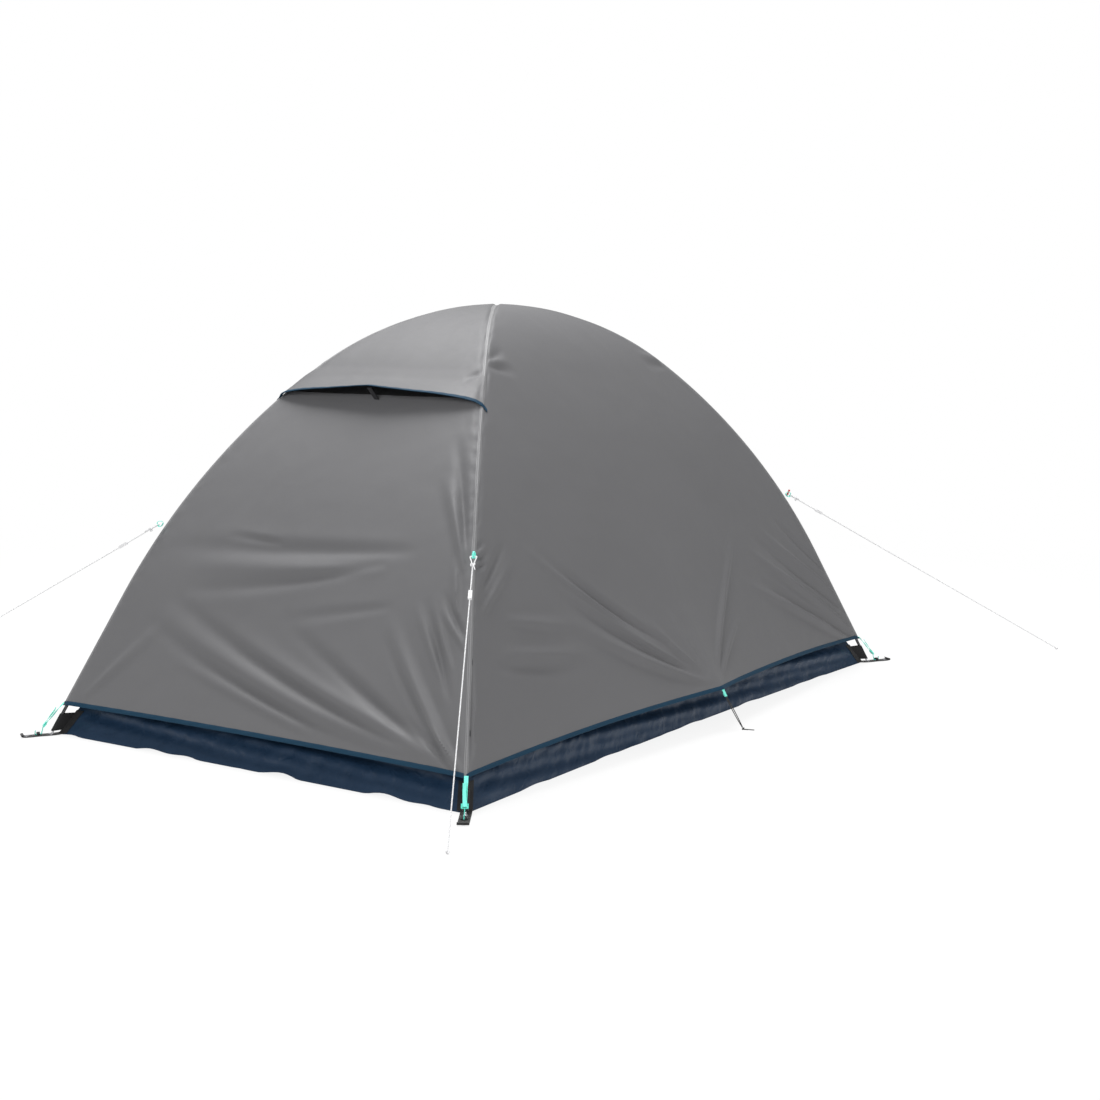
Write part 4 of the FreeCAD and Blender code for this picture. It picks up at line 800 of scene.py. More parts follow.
SIDE_FOLDS = in_metres([
    (10, 105, 540, 375, 20, 10, 12), (30, 120, 520, 410, 15, -6.5), (30, 125, 540, 455, 15, 7.5),
    (120, 225, 570, 520, 15, -9), (220, 265, 620, 550, 13, 8), (10, 110, 190, 320, 11, 7),
    (10, 110, 70, 320, 10, 5.5), (-10, 110, -420, 480, 13, 7.5), (-10, 100, -300, 265, 11, 5.5),
    (-1020, 90, -440, 430, 15, 10.5), (-1000, 160, -500, 450, 15, -9), (-1000, 85, -420, 350, 15, -8),
    (-960, 80, -360, 340, 15, 8), (-980, 200, -560, 470, 12, 7), (-940, 280, -660, 500, 12, -6),
    (1010, 110, 910, 340, 11, -7), (760, 390, 460, 330, 18, 6), (800, 320, 440, 260, 20, 6.5),
    (840, 290, 500, 230, 22, -6.5), (840, 410, 660, 520, 14, 6.5), (820, 460, 670, 560, 12, -6.5),
    (815, 548, 745, 570, 9, -7), (815, 530, 750, 542, 9, -7), (830, 512, 760, 522, 9, -6.5),
    (405, 985, 300, 1012, 14, -4.6), (425, 972, 310, 952, 14, -5), (415, 980, 310, 982, 12, 3.4),
    (-440, 960, -320, 985, 13, 3), (-450, 945, -330, 950, 13, -2.6),
])


def mirrored(table):
    """The same folds on the other side of the wall."""
    return [(-a, h, -b, k, w, r, *[-s for s in sag]) for a, h, b, k, w, r, *sag in table]


FRONT_FOLDS = mirrored(REAR_FOLDS[:8])
SIDE_PULL, SIDE_REACH, SIDE_RISE = 0.087, 0.620, 0.003
PUCKER = 0.0034
SIDE_CURVE, REAR_CURVE = 0.012, 0.006
RIDGE_ROUND, RIDGE_SOFT = 0.0056, 0.0145


def wall_shape(end):
    """Depth of an end or side wall for each metre of reach, and half its width for each of depth."""
    if end:
        return math.sin(DIAGONAL), 1 / math.tan(DIAGONAL)
    return math.cos(DIAGONAL), math.tan(DIAGONAL)


def set_on_side(end, sign, depth, sideways, height):
    """Points of a wall at one end of the tent, or on one of its sides."""
    row = (sideways, sign * depth, height) if end else (sign * depth, sideways, height)
    return np.stack(row, axis=-1)


class Wall:
    """One wall of the flysheet or of the inner tent."""

    def __init__(self, arch, end, sign, folds=(), relief=1.0, pulled=False, seed=0.0,
                 rounding=RIDGE_ROUND):
        self.arch, self.end, self.sign, self.folds = arch, end, sign, folds
        self.relief, self.pulled, self.seed, self.rounding = relief, pulled, seed, rounding
        self.part, self.spread = wall_shape(end)

    def half(self, run):
        """Half the wall's width at a run."""
        return self.arch.at(run)[0] * self.part * self.spread

    def stand(self, share, run, across, height, half):
        """How far the cloth stands off the plain wall."""
        from_ridge = (1 - np.abs(share)) * half
        free = smooth_step(from_ridge, 0.002, 0.026)
        total = fold_relief(across, height, self.folds) * free * self.relief
        soft = crumple(across, height, 0.16, self.seed) * 0.0022
        soft = soft + crumple(across, height, 0.045, self.seed) * 0.0006
        total = total + soft * free * self.relief
        beside = smooth_step(from_ridge, 0.002, 0.012) * np.exp(-from_ridge / 0.022)
        pull = crumple(np.sign(share) * 3.0 + from_ridge, height, 0.021, self.seed + 11)
        total = total + pull * beside * (PUCKER if self.rounding else 0.0) * smooth_step(height, 0.2, 0.5)
        if self.pulled:
            fade = np.clip(1 - (height - HEM_HEIGHT) / SIDE_REACH, 0, 1.2) ** 2.2
            broad = np.maximum(0, 1 - np.abs(share) ** 1.5) ** 1.4
            total = total + SIDE_PULL * fade * (0.7 * broad + 0.3 * np.exp(-np.abs(share) / 0.09))
        return total

    def points(self, share, run, lift=0.0, extra=None):
        """Points of the wall's outer face, moved out by lift, and their places across."""
        share, run = np.broadcast_arrays(np.asarray(share, float), np.asarray(run, float))
        reach, height, slope = self.arch.at(run)
        half = reach * self.part * self.spread
        rounded = self.rounding * np.exp(-(((1 - np.abs(share)) * half) / RIDGE_SOFT) ** 2)
        reach = reach - rounded * np.sin(slope)
        height = height - rounded * np.cos(slope)
        across = share * half
        out, up = np.sin(slope), self.part * np.cos(slope)
        norm = np.hypot(out, up)
        stand = self.stand(share, run, across, height, half) + lift
        if extra is not None:
            stand = stand + extra(share, run)
        depth = reach * self.part + stand * out / norm
        height = height + stand * up / norm
        return set_on_side(self.end, self.sign, depth, share * depth * self.spread, height), across


fly_left = Wall(FLY, False, -1, SIDE_FOLDS, pulled=True, seed=1.0)
fly_right = Wall(FLY, False, 1, mirrored(SIDE_FOLDS), pulled=True, seed=2.0)
fly_rear = Wall(FLY, True, 1, REAR_FOLDS, seed=3.0)
fly_front = Wall(FLY, True, -1, FRONT_FOLDS, relief=0.5, seed=4.0)

# %% [markdown]
# The points of a grid are closer together beside the ridges, where the cloth turns round
# the pole.

# %% Flysheet walls
RIDGE_STEPS = (0.0, 0.0025, 0.005, 0.008, 0.011, 0.015, 0.020, 0.027)
CLOTH_STEP, FOLD_STEP, PLAIN_STEP = 0.0085, 0.0068, 0.0105
SIDE_STEP, REAR_STEP, FOLDED_RUN = 0.0104, 0.0058, 0.62
CROWN_START = 0.003
CLOTH_END = HEM_RUN - BINDING_WIDTH + 0.004


def shares_for(half_width, step=CLOTH_STEP):
    """Shares from ridge to ridge, closer together at both ends."""
    edge = [-1 + d / half_width for d in RIDGE_STEPS]
    inner = edge[-1]
    count = int(2 * half_width * abs(inner) / step)
    middle = np.linspace(inner, -inner, count + 1)[1:-1]
    return np.concatenate([edge, middle, [-e for e in reversed(edge)]])


def side_climb(share):
    """The hem is cut in two shallow curves, one each side of the pull-out."""
    return SIDE_RISE * (1 - np.abs(share)) ** 1.5 + SIDE_CURVE * np.sin(math.pi * np.abs(share))


def rear_climb(share):
    return REAR_CURVE * (1 - share ** 2)


def distances(path):
    """How far along a path each of its points lies. The points run along the next to last axis."""
    steps = np.linalg.norm(np.diff(path, axis=-2), axis=-1)
    return np.concatenate([np.zeros(steps.shape[:-1] + (1,)), np.cumsum(steps, axis=-1)], axis=-1)


def cloth_places(grid, across):
    """Places on the cloth in metres: across it, and down it from the top row."""
    return np.stack([across, distances(grid)], axis=-1)


def sheet_area(grid):
    """The area of a grid of points."""
    one = np.cross(grid[1:, :-1] - grid[:-1, :-1], grid[:-1, 1:] - grid[:-1, :-1])
    return float(np.linalg.norm(one, axis=-1).sum())


def wall_grid(wall, shares, top, low, climb=None, lift=0.0, extra=None, step=CLOTH_STEP,
              folded=None):
    """Points and cloth places, with closer rows in the folded length above the hem."""
    if folded:
        plain = 1 - folded / (low - top)
        runs = np.concatenate([np.linspace(0, plain, int((low - top - folded) / PLAIN_STEP)),
                               np.linspace(plain, 1, int(folded / step))[1:]])
    else:
        runs = np.linspace(0, 1, max(3, int((low - top) / step)))
    rise = climb(shares)[:, None] if climb else 0.0
    run = top + (low - rise - top) * runs[None, :]
    grid, across = wall.points(shares[:, None], run, lift, extra)
    return grid, cloth_places(grid, across)


for name, wall in (("fly_left_sheet", fly_left), ("fly_right_sheet", fly_right)):
    shares = shares_for(float(wall.half(HEM_RUN)), SIDE_STEP)
    grid, uv = wall_grid(wall, shares, CROWN_START, CLOTH_END, side_climb, step=FOLD_STEP,
                         folded=FOLDED_RUN)
    add_sheet(name, grid, fly_cloth, uv)
    print(name, "%.2f m2, %d faces" % (sheet_area(grid), len(sheets[name][0].data.polygons)))

# %% [markdown]
# The rear wall stops below the vent, a net closes the vent, and a hood hangs over it. A
# strip props the hood's edge, so that the edge rises to a peak in the middle.

# %% Rear wall, net and hood
VENT_HEIGHT, HOOD_OVERLAP, MESH_HEIGHT, VENT_LIFT = 0.878, 0.015, 0.044, 0.050
CLOTH, HOOD_PLAY = 0.002, 0.001
HOOD_BULGE, PEAK_LESS = 0.018, 0.012
vent_run = float(FLY.run_at(VENT_HEIGHT))
mesh_low = float(FLY.run_at(VENT_HEIGHT + HOOD_OVERLAP))
mesh_top = float(FLY.run_at(VENT_HEIGHT + HOOD_OVERLAP + MESH_HEIGHT))


def hood_lift(share, run):
    """The hood clears the net, and lifts to a peak over its prop."""
    over_net = np.clip((run - mesh_top + 0.038) / 0.040, 0, 1)
    down = np.clip((run - mesh_top) / (vent_run - mesh_top), 0, 1.2)
    edge = HOOD_BULGE * (1 - np.abs(share) ** 7) + (VENT_LIFT - PEAK_LESS) * (1 - np.abs(share))
    return over_net * (CLOTH + HOOD_PLAY) + edge * down ** 1.5


shares = shares_for(float(fly_rear.half(HEM_RUN)), REAR_STEP)
grid, uv = wall_grid(fly_rear, shares, mesh_low + 0.0006, CLOTH_END, rear_climb, step=REAR_STEP)
add_sheet("fly_rear_sheet", grid, fly_cloth, uv)
grid, uv = wall_grid(fly_rear, shares, mesh_top - 0.006, mesh_low + 0.004, lift=-0.0009)
add_sheet("vent_net", grid, net, uv, thickness=0.0004)
hood_end = vent_run - BINDING_WIDTH + 0.004
grid, uv = wall_grid(fly_rear, shares, CROWN_START, hood_end, extra=hood_lift)
add_sheet("vent_hood_sheet", grid, fly_cloth, uv)
print("hood reaches z = %.3f m at its peak" % grid[len(shares) // 2, -1, 2])

# %% [markdown]
# The front wall has the outer door between its two sides. Its grid has three groups of
# columns, left of the door, across it and right of it, so that the door's slanting sides
# are clean rows of edges. The wall is cut from it as three pieces: a crown above the
# door's fold, and a narrow strip down each side. The door is a grid of its own.

# %% Front wall and outer door
FLY_DOOR_FOLD, FLY_DOOR_LOW, FLY_DOOR_LEAN, ZIP_WIDTH = 0.800, 0.450, 0.25, 0.004


def fly_door_half(height):
    return FLY_DOOR_LOW - FLY_DOOR_LEAN * np.minimum(height, FLY_DOOR_FOLD)


def door_columns(wall, runs, door_half, fold, side_steps, middle_steps):
    """Shares of three groups of columns for each run. The door's top is at the height fold."""
    heights = wall.arch.at(runs)[1]
    above = door_half(fold) / wall.half(wall.arch.run_at(fold))
    door_share = np.where(heights > fold, above, door_half(heights) / wall.half(runs))
    left = np.array(side_steps)[:, None]
    columns = -1 + left * (1 - door_share[None, :])
    middle = np.linspace(-1, 1, middle_steps)[1:-1, None] * door_share[None, :]
    return np.concatenate([columns, middle, -columns[::-1]], axis=0)


def side_shares(wall, run, door_share, count):
    """Even steps from ridge to door, with closer ones beside the ridge."""
    width = float(wall.half(run)) * (1 - door_share)
    edge = [d / width for d in RIDGE_STEPS]
    return edge + list(np.linspace(edge[-1], 1, count)[1:])


def door_sheet(name, wall, door_half, runs, count, lift, material):
    """A door of its own, that leaves half the zip free on each side."""
    door_share = (door_half(wall.arch.at(runs)[1]) - ZIP_WIDTH) / wall.half(runs)
    grid, across = wall.points(np.linspace(-1, 1, count)[:, None] * door_share, runs, lift)
    add_sheet(name, grid, material, cloth_places(grid, across))
    return grid


fold_run = float(FLY.run_at(FLY_DOOR_FOLD))
runs = np.concatenate([np.linspace(CROWN_START, fold_run, 62), np.linspace(fold_run, CLOTH_END, 105)[1:]])
steps = side_shares(fly_front, HEM_RUN, 0.65, 26)
share = door_columns(fly_front, runs, fly_door_half, FLY_DOOR_FOLD, steps, 62)
grid, across = fly_front.points(share, runs)
uv = cloth_places(grid, across)
for name, rows, columns in (("fly_front_crown_sheet", slice(None), slice(0, 62)),
                            ("fly_front_left_sheet", slice(0, len(steps)), slice(61, None)),
                            ("fly_front_right_sheet", slice(-len(steps), None), slice(61, None))):
    add_sheet(name, grid[rows, columns], fly_cloth, uv[rows, columns])
door_runs = runs[runs >= fold_run - 1e-9] + np.linspace(0.0004, 0, 105)
grid = door_sheet("fly_door_sheet", fly_front, fly_door_half, door_runs, 84, 0.0, fly_cloth)
print("door %.2f m wide at its fold, %.2f m at the hem" % tuple(2 * np.abs(grid[0, [0, -1], 0])))

# %% [markdown]
# ## Taped edges
# Navy tape is folded round every lower edge and sewn through. Its cross-section is a
# flat loop that is open at the top: out over the cloth, round the edge and up the inside.
# A loft puts that loop at every step along the edge, which is why the tape follows each
# fold of the hem. Its UV map holds metres along and across, for the row of stitches.

# %% Lofting a loop along an edge
def loft(name, loops, material, along, around):
    """A closed tube from loops of points [i, j, 3]."""
    count, size = loops.shape[:2]
    index = np.arange(count * size).reshape(count, size)
    nearby = np.roll(index, -1, axis=1)
    faces = np.stack([index[:-1], index[1:], nearby[1:], nearby[:-1]], axis=-1).reshape(-1, 4).tolist()
    faces += [list(range(size))[::-1], [int(v) for v in index[-1]]]
    places = np.stack(np.broadcast_arrays(along[:, None], around), axis=-1)
    piece = add_mesh(name, loops, faces, material, places)
    outward(piece)
    return smooth(piece, 50)


# lift off the cloth and length up from the edge, round the folded tape
TAPE_LOOP = [(0.0002, 0.0120), (0.0008, 0.0119), (0.0010, 0.0110), (0.0009, 0.0095), (0.0012, 0.0070),
             (0.0012, 0.0030), (0.0008, 0.0006), (-0.0004, 0.0), (-0.0016, 0.0006), (-0.0021, 0.0030),
             (-0.0021, 0.0070), (-0.0018, 0.0095), (-0.0019, 0.0110), (-0.0017, 0.0119), (-0.0011, 0.0120)]
TAPE_AROUND = np.array([up for _, up in TAPE_LOOP])
TAPE_WAVER = 0.0004
HOOD_END_ACROSS, HOOD_END_DOWN, HOOD_END_LIFT = 0.022, 0.027, 0.0016


def bound_edge(name, wall, shares, edge_run, climb=None, extra=None):
    """Folded tape along the lower edge of a wall, from share to share."""
    rise = climb(shares) if climb else 0.0
    loops = []
    for lift, up in TAPE_LOOP:
        wobble = TAPE_WAVER * np.sin(shares * 61 + up * 300) * (up > 0.002)
        loops.append(wall.points(shares, edge_run - rise - up, lift + wobble, extra)[0])
    loops = np.stack(loops, axis=1)
    along = distances(loops[:, 7])
    print(name, "%.2f m of tape" % along[-1])
    return loft(name, loops, navy_tape, along, TAPE_AROUND)


tapes = {}
for side, wall, climb in (("left", fly_left, side_climb), ("right", fly_right, side_climb),
                          ("rear", fly_rear, rear_climb)):
    name = "hem_tape_" + side
    shares = shares_for(float(wall.half(HEM_RUN)), 0.0075)
    tapes[name] = bound_edge(name, wall, shares, HEM_RUN, climb)
hem_half = float(fly_front.half(HEM_RUN))
door_half = float(fly_door_half(HEM_HEIGHT)) / hem_half
side = np.concatenate([[-1 + d / hem_half for d in RIDGE_STEPS[:-1]],
                       np.linspace(-1 + RIDGE_STEPS[-1] / hem_half, -door_half, 32)])
door_edge = door_half - ZIP_WIDTH / hem_half
for name, shares in (("hem_tape_front_left", side), ("hem_tape_front_right", -side[::-1]),
                     ("door_tape", np.linspace(-door_edge, door_edge, 118))):
    tapes[name] = bound_edge(name, fly_front, shares, HEM_RUN)
shares = shares_for(float(fly_rear.half(vent_run)), 0.006)
hood_tape = [bound_edge("hood_tape", fly_rear, shares, vent_run, extra=hood_lift)]
turn = np.linspace(0, 1, 14)
for wall in (fly_left, fly_right):
    shares = 1 - turn * HOOD_END_ACROSS / float(wall.half(vent_run))
    hood_tape.append(bound_edge("hood_tape_end", wall, shares, vent_run + HOOD_END_DOWN * turn ** 1.2,
                                extra=lambda share, run: HOOD_END_LIFT))
tapes["hood_tape"] = join(hood_tape, "hood_tape")

# %% [markdown]
# ## Ridge seams
# Where two walls meet, the seam is felled: both edges are folded into each other and sewn
# down twice, which leaves a narrow raised band along the ridge. It is lofted over the
# rounded ridge, with a little of it on each wall. Its finish is a paler grey than the fly,
# a painted highlight for the light band along the ridge.

# %% Ridge seams
SEAM_HALF, SEAM_PROUD, SEAM_UNDER = 0.0072, 0.0010, 0.0006
SEAM_STEPS = (1.0, 0.72, 0.4, 0.0)
WALL_PAIRS = {
    "rear_right": (fly_rear, 1, fly_right, 1),
    "rear_left": (fly_rear, -1, fly_left, 1),
    "front_left": (fly_front, -1, fly_left, -1),
    "front_right": (fly_front, 1, fly_right, -1),
}
seams = {}
for corner, (first, first_side, second, second_side) in WALL_PAIRS.items():
    runs = np.linspace(0.004, HEM_RUN - 0.002, 190)
    waver = 1 + 0.10 * np.sin(runs * 23) + 0.06 * np.sin(runs * 61 + 1.0)
    rows = []
    for wall, side_sign, order, under in (
            (first, first_side, SEAM_STEPS, False), (second, second_side, SEAM_STEPS[-2::-1], False),
            (second, second_side, (0.9, 0.0), True), (first, first_side, (0.9,), True)):
        for step in order:
            share = side_sign * (1 - step * SEAM_HALF * waver / wall.half(runs))
            proud = -SEAM_UNDER if under else SEAM_PROUD * (0.25 if step == 1.0 else 1.0)
            rows.append(wall.points(share, runs, proud)[0])
    loops = np.stack(rows, axis=1)
    along = distances(loops[:, 3])
    around = np.array([-0.0055, -0.004, -0.0022, 0, 0.0022, 0.004, 0.0055, 0.0055, 0, -0.0055])
    seams[corner] = loft("ridge_seam_" + corner, loops, fly_seam_painted_highlight, along, around)
print("4 ridge seams, each %.2f m" % along[-1])

# %% [markdown]
# ## Inner tent
# The inner tent hangs from clips, so its walls are nearly flat and pale, with a few soft
# folds. The tub below it is coated navy cloth. It stands up from the floor's edge, and
# the pull of the walls leaves it with level puckers and a foot that lifts in slow waves.

# %% Inner walls and inner door
INNER_FOLDS = [(-0.5, 0.13, 0.1, 0.40, 0.04, 0.003), (0.5, 0.13, -0.1, 0.42, 0.04, 0.003)]
inner_left = Wall(INNER, False, -1, INNER_FOLDS, seed=5.0, rounding=0.0)
inner_right = Wall(INNER, False, 1, INNER_FOLDS, seed=6.0, rounding=0.0)
inner_rear = Wall(INNER, True, 1, INNER_FOLDS, seed=7.0, rounding=0.0)
inner_front = Wall(INNER, True, -1, (), relief=0.6, seed=8.0, rounding=0.0)
INNER_END = float(INNER.run_at(TUB_HEIGHT)) + 0.003
for name, wall in (("inner_left_sheet", inner_left), ("inner_right_sheet", inner_right),
                   ("inner_rear_sheet", inner_rear)):
    shares = np.linspace(-1, 1, 90)
    grid, uv = wall_grid(wall, shares, CROWN_START, INNER_END, lift=-0.0006, step=0.016)
    add_sheet(name, grid, inner_cloth, uv)

INNER_DOOR_LOW, INNER_DOOR_HIGH, INNER_DOOR_ROUND = 0.128, 0.700, 0.150
INNER_DOOR_BOTTOM, INNER_DOOR_TOP = 0.360, 0.190


def inner_door_half(height):
    share = np.clip((height - INNER_DOOR_LOW) / (INNER_DOOR_HIGH - INNER_DOOR_LOW), 0, 1)
    plain = INNER_DOOR_BOTTOM + (INNER_DOOR_TOP - INNER_DOOR_BOTTOM) * share
    over = np.clip(height - (INNER_DOOR_HIGH - INNER_DOOR_ROUND), 0, INNER_DOOR_ROUND)
    return plain - INNER_DOOR_ROUND + np.sqrt(np.maximum(0, INNER_DOOR_ROUND ** 2 - over ** 2))


top_run, low_run = float(INNER.run_at(INNER_DOOR_HIGH)), float(INNER.run_at(INNER_DOOR_LOW))
round_run = float(INNER.run_at(INNER_DOOR_HIGH - INNER_DOOR_ROUND))
curve = top_run + (round_run - top_run) * (1 - np.cos(np.linspace(0, math.pi / 2, 26)))
runs = np.concatenate([np.linspace(CROWN_START, top_run, 30)[:-1], curve[:-1],
                       np.linspace(round_run, low_run, 30), [INNER_END]])
steps = list(np.linspace(0, 1, 24))
share = door_columns(inner_front, runs, inner_door_half, INNER_DOOR_HIGH, steps, 34)
grid, across = inner_front.points(share, runs, -0.0006)
keep = np.ones((share.shape[0] - 1, share.shape[1] - 1), bool)
keep[23:share.shape[0] - 24, 29:-1] = False
piece = grid_sheet("inner_front_sheet", grid, inner_cloth, cloth_places(grid, across), keep=keep)
sheets["inner_front_sheet"] = (piece, grid, grid[23:-23, 29:-1])
door_runs = runs[29:-1]
door_runs = np.where(door_runs < top_run + 0.004, door_runs + 0.004, door_runs)
door_sheet("inner_door_sheet", inner_front, inner_door_half, door_runs, 44, -0.0006, inner_cloth)
print("inner tent:", [n for n in sheets if n.startswith("inner")])

# %% Tub and floor
FLOOR_CLOTH = 0.0012
TUB_MIDDLE = (0, 0, 0.06)
SIDE_BOW, END_BOW = 0.020, 0.005
TUB_REACH = float(INNER.at(INNER.run_at(TUB_HEIGHT))[0])


def foot_lift(end, place, seed):
    """How far a tub wall's foot lifts off the ground, by the place along the wall."""
    waves = np.sin(place * 17 + seed) * 0.5 + np.sin(place * 41 + 2 * seed) * 0.3
    half = (FLOOR_WIDTH if end else FLOOR_LENGTH) / 2
    free = smooth_step(half - np.abs(place), 0.0, 0.09)
    return np.maximum(0, waves) * (0.0100 if end else 0.0030) * free


def tub_grid(end, sign, shares, rows, lift=0.0, seed=0.0):
    """A tub wall from its upper seam down to the floor's edge. Rows go from 0 to 1."""
    part, spread = wall_shape(end)
    share, row = np.meshgrid(shares, rows, indexing="ij")
    depth_top, depth_low = TUB_REACH * part, FLOOR_DIAGONAL * part
    height = TUB_HEIGHT + (FLOOR_CLOTH - TUB_HEIGHT) * row
    across = share * depth_low * spread
    free = smooth_step((1 - np.abs(share)) * depth_low * spread, 0.0, 0.09)
    held = np.sin(row * math.pi)
    pucker = (0.0040 if end else 0.0056) * np.sin(row * 9.0 + across * 5 + seed) * held
    pucker = pucker + 0.0030 * np.sin(row * 21 + across * 11) * held
    pucker = pucker + crumple(across, height, 0.05, seed) * 0.0068 * held ** 0.5
    pucker = pucker + crumple(across, height, 0.019, seed + 5) * 0.0026 * held ** 0.5
    foot = foot_lift(end, across, seed) * row ** 6
    depth = depth_top + (depth_low - depth_top) * row + (pucker * free + lift) * 0.9 - foot * 0.8
    depth = depth - (END_BOW if end else SIDE_BOW) * (1 - share ** 2) * row
    grid = set_on_side(end, sign, depth, share * depth * spread, height + foot + lift * 0.45)
    return grid, cloth_places(grid, across)


TUB_WALLS = {"tub_left_sheet": (False, -1, 1.0), "tub_right_sheet": (False, 1, 2.3),
             "tub_rear_sheet": (True, 1, 3.1), "tub_front_sheet": (True, -1, 4.7)}
for name, (end, sign, seed) in TUB_WALLS.items():
    count = 200 if end else 300
    grid, uv = tub_grid(end, sign, np.linspace(-1, 1, count), np.linspace(0, 1, 24), -0.0006, seed)
    add_sheet(name, grid, tub_cloth, uv, centre=TUB_MIDDLE)

half_width, half_length = FLOOR_WIDTH / 2, FLOOR_LENGTH / 2
across, length = np.meshgrid(np.linspace(-half_width, half_width, 90),
                             np.linspace(-half_length, half_length, 140), indexing="ij")
inside = np.minimum(half_width - np.abs(across), half_length - np.abs(length))
height = FLOOR_CLOTH + 0.0006 * smooth_step(inside, 0, 0.05) * (1 + crumple(across, length, 0.09, 9.0))
inward = 1 - SIDE_BOW / half_width * (1 - (length / half_length) ** 2)
forward = 1 - END_BOW / half_length * (1 - (across / half_width) ** 2)
grid = np.stack([across * inward, length * forward, height], axis=-1)
for end, sign, seed in TUB_WALLS.values():
    place, toward = (across, length) if end else (length, across)
    edge = (half_length if end else half_width) - sign * toward
    curl = foot_lift(end, place, seed) * (1 - smooth_step(edge, 0, 0.06))
    grid[..., 2] += curl
    grid[..., 1 if end else 0] -= sign * curl * 0.8
add_sheet("floor_sheet", grid, tub_cloth, np.stack([across, length], axis=-1), thickness=0.0010,
          centre=(0, 0, -1))
print("tub and floor:", list(TUB_WALLS) + ["floor_sheet"])

# %% [markdown]
# Each corner of the tub has a black reinforcement, sewn over both walls, because the
# pole's strap pulls there.

# %% Corner reinforcements
PATCH_WIDTH, PATCH_ROWS = 0.026, np.linspace(0.46, 0.985, 10)
patches = {}
for corner in CORNERS:
    x_sign = 1 if "right" in corner else -1
    y_sign = 1 if "rear" in corner else -1
    halves = []
    for end, sign, side_sign in ((True, y_sign, x_sign), (False, x_sign, y_sign)):
        seed = [seed for *wall, seed in TUB_WALLS.values() if wall == [end, sign]][0]
        width = (FLOOR_WIDTH if end else FLOOR_LENGTH) / 2
        shares = side_sign * (1 - np.linspace(0, PATCH_WIDTH, 10) / width)
        grid, uv = tub_grid(end, sign, shares, PATCH_ROWS, 0.0009, seed)
        halves.append(grid_sheet("patch", grid, black_webbing, uv, thickness=0.0008, centre=TUB_MIDDLE))
    patches[corner] = join(halves, "corner_patch_" + corner)
print("patches:", len(patches))

# %% [markdown]
# ## Zips
# A coil zip is a nylon coil sewn to two tapes. One tooth is modelled as a small block
# that narrows at one end, and its copies are set along the zip's path, alternately from the left
# and from the right. A few hundred copies stay light, because one tooth has few faces.

# %% One zip tooth
def new_cube(name, size, place=(0, 0, 0)):
    deselect()
    bpy.ops.mesh.primitive_cube_add(size=1, location=place, scale=size)
    piece = bpy.context.object
    piece.name = name
    put_place_in_mesh()
    return piece


tooth = new_cube("tooth", (0.0022, 0.0010, 0.0014), (0.0006, 0, 0))
mode("EDIT")
select_where(tooth, "FACE", lambda face: face.normal.x < -0.9)
bpy.ops.transform.resize(value=(1, 0.6, 0.6))
mode("OBJECT")
TOOTH_PITCH, HALF_TAPE = 0.0018, 0.0075


def zip_chain(name, wall, shares, runs):
    """Teeth and two tapes along a path on a wall."""
    path, _ = wall.points(shares, runs, -0.0006)
    raised, _ = wall.points(shares, runs, 0.0094)
    along = distances(path)
    places = np.arange(0, along[-1], TOOTH_PITCH)
    spots = np.stack([np.interp(places, along, path[:, k]) for k in range(3)], axis=-1)
    ups = np.stack([np.interp(places, along, (raised - path)[:, k]) for k in range(3)], axis=-1)
    verts, faces = [], []
    shape = np.array([v.co for v in tooth.data.vertices])
    polygons = [list(p.vertices) for p in tooth.data.polygons]
    for number, (spot, up) in enumerate(zip(spots, ups)):
        nearby = spots[min(number + 1, len(spots) - 1)] - spots[max(number - 1, 0)]
        forward = nearby / np.linalg.norm(nearby)
        up = up / np.linalg.norm(up)
        side = np.cross(forward, up) * (1 if number % 2 else -1)
        start = len(verts)
        turned = shape @ np.array([side, forward * (1 if number % 2 else -1), up]) + spot
        verts += turned.tolist()
        faces += [[start + v for v in polygon] for polygon in polygons]
    coil = add_mesh(name, np.array(verts), faces, zip_coil)
    forward = np.gradient(path, axis=0)
    forward /= np.linalg.norm(forward, axis=-1, keepdims=True)
    up = (raised - path) / np.linalg.norm(raised - path, axis=-1, keepdims=True)
    side = np.cross(forward, up)
    loops = []
    for shift, level in ((-HALF_TAPE, -0.0008), (0, -0.0006), (HALF_TAPE, -0.0008), (HALF_TAPE, -0.0013),
                         (0, -0.0013), (-HALF_TAPE, -0.0013)):
        loops.append(path + side * shift + up * level)
    tape = loft(name + "_tape", np.stack(loops, axis=1), zip_tape, along,
                np.array([-HALF_TAPE, 0, HALF_TAPE, HALF_TAPE, 0, -HALF_TAPE]))
    return join([coil, tape], name)


zips = {}
runs = np.linspace(fold_run + 0.004, HEM_RUN - 0.002, 130)
for side, sign in (("left", -1), ("right", 1)):
    middle = (fly_door_half(FLY.at(runs)[1]) - ZIP_WIDTH / 2) / fly_front.half(runs)
    zips["fly_zip_" + side] = zip_chain("fly_zip_" + side, fly_front, sign * middle, runs)
up_runs = np.linspace(low_run, top_run + 0.002, 90)
half = (inner_door_half(INNER.at(up_runs)[1]) - ZIP_WIDTH / 2) / inner_front.half(up_runs)
path_share = np.concatenate([half, np.linspace(half[-1], -half[-1], 12)[1:-1], -half[::-1]])
path_runs = np.concatenate([up_runs, np.full(10, up_runs[-1]), up_runs[::-1]])
zips["inner_zip_chain"] = zip_chain("inner_zip_chain", inner_front, path_share, path_runs)
drop(tooth)
print("zips:", {n: len(z.data.polygons) for n, z in zips.items()})

# %% [markdown]
# ## Webbing
# Straps, loops and tabs are one strip each. The strip starts as a small plane across its
# first run, and its far edge is extruded from point to point. Subdivision rounds the way
# it lies, solidify gives it its thickness and a fine bevel its soft edges.

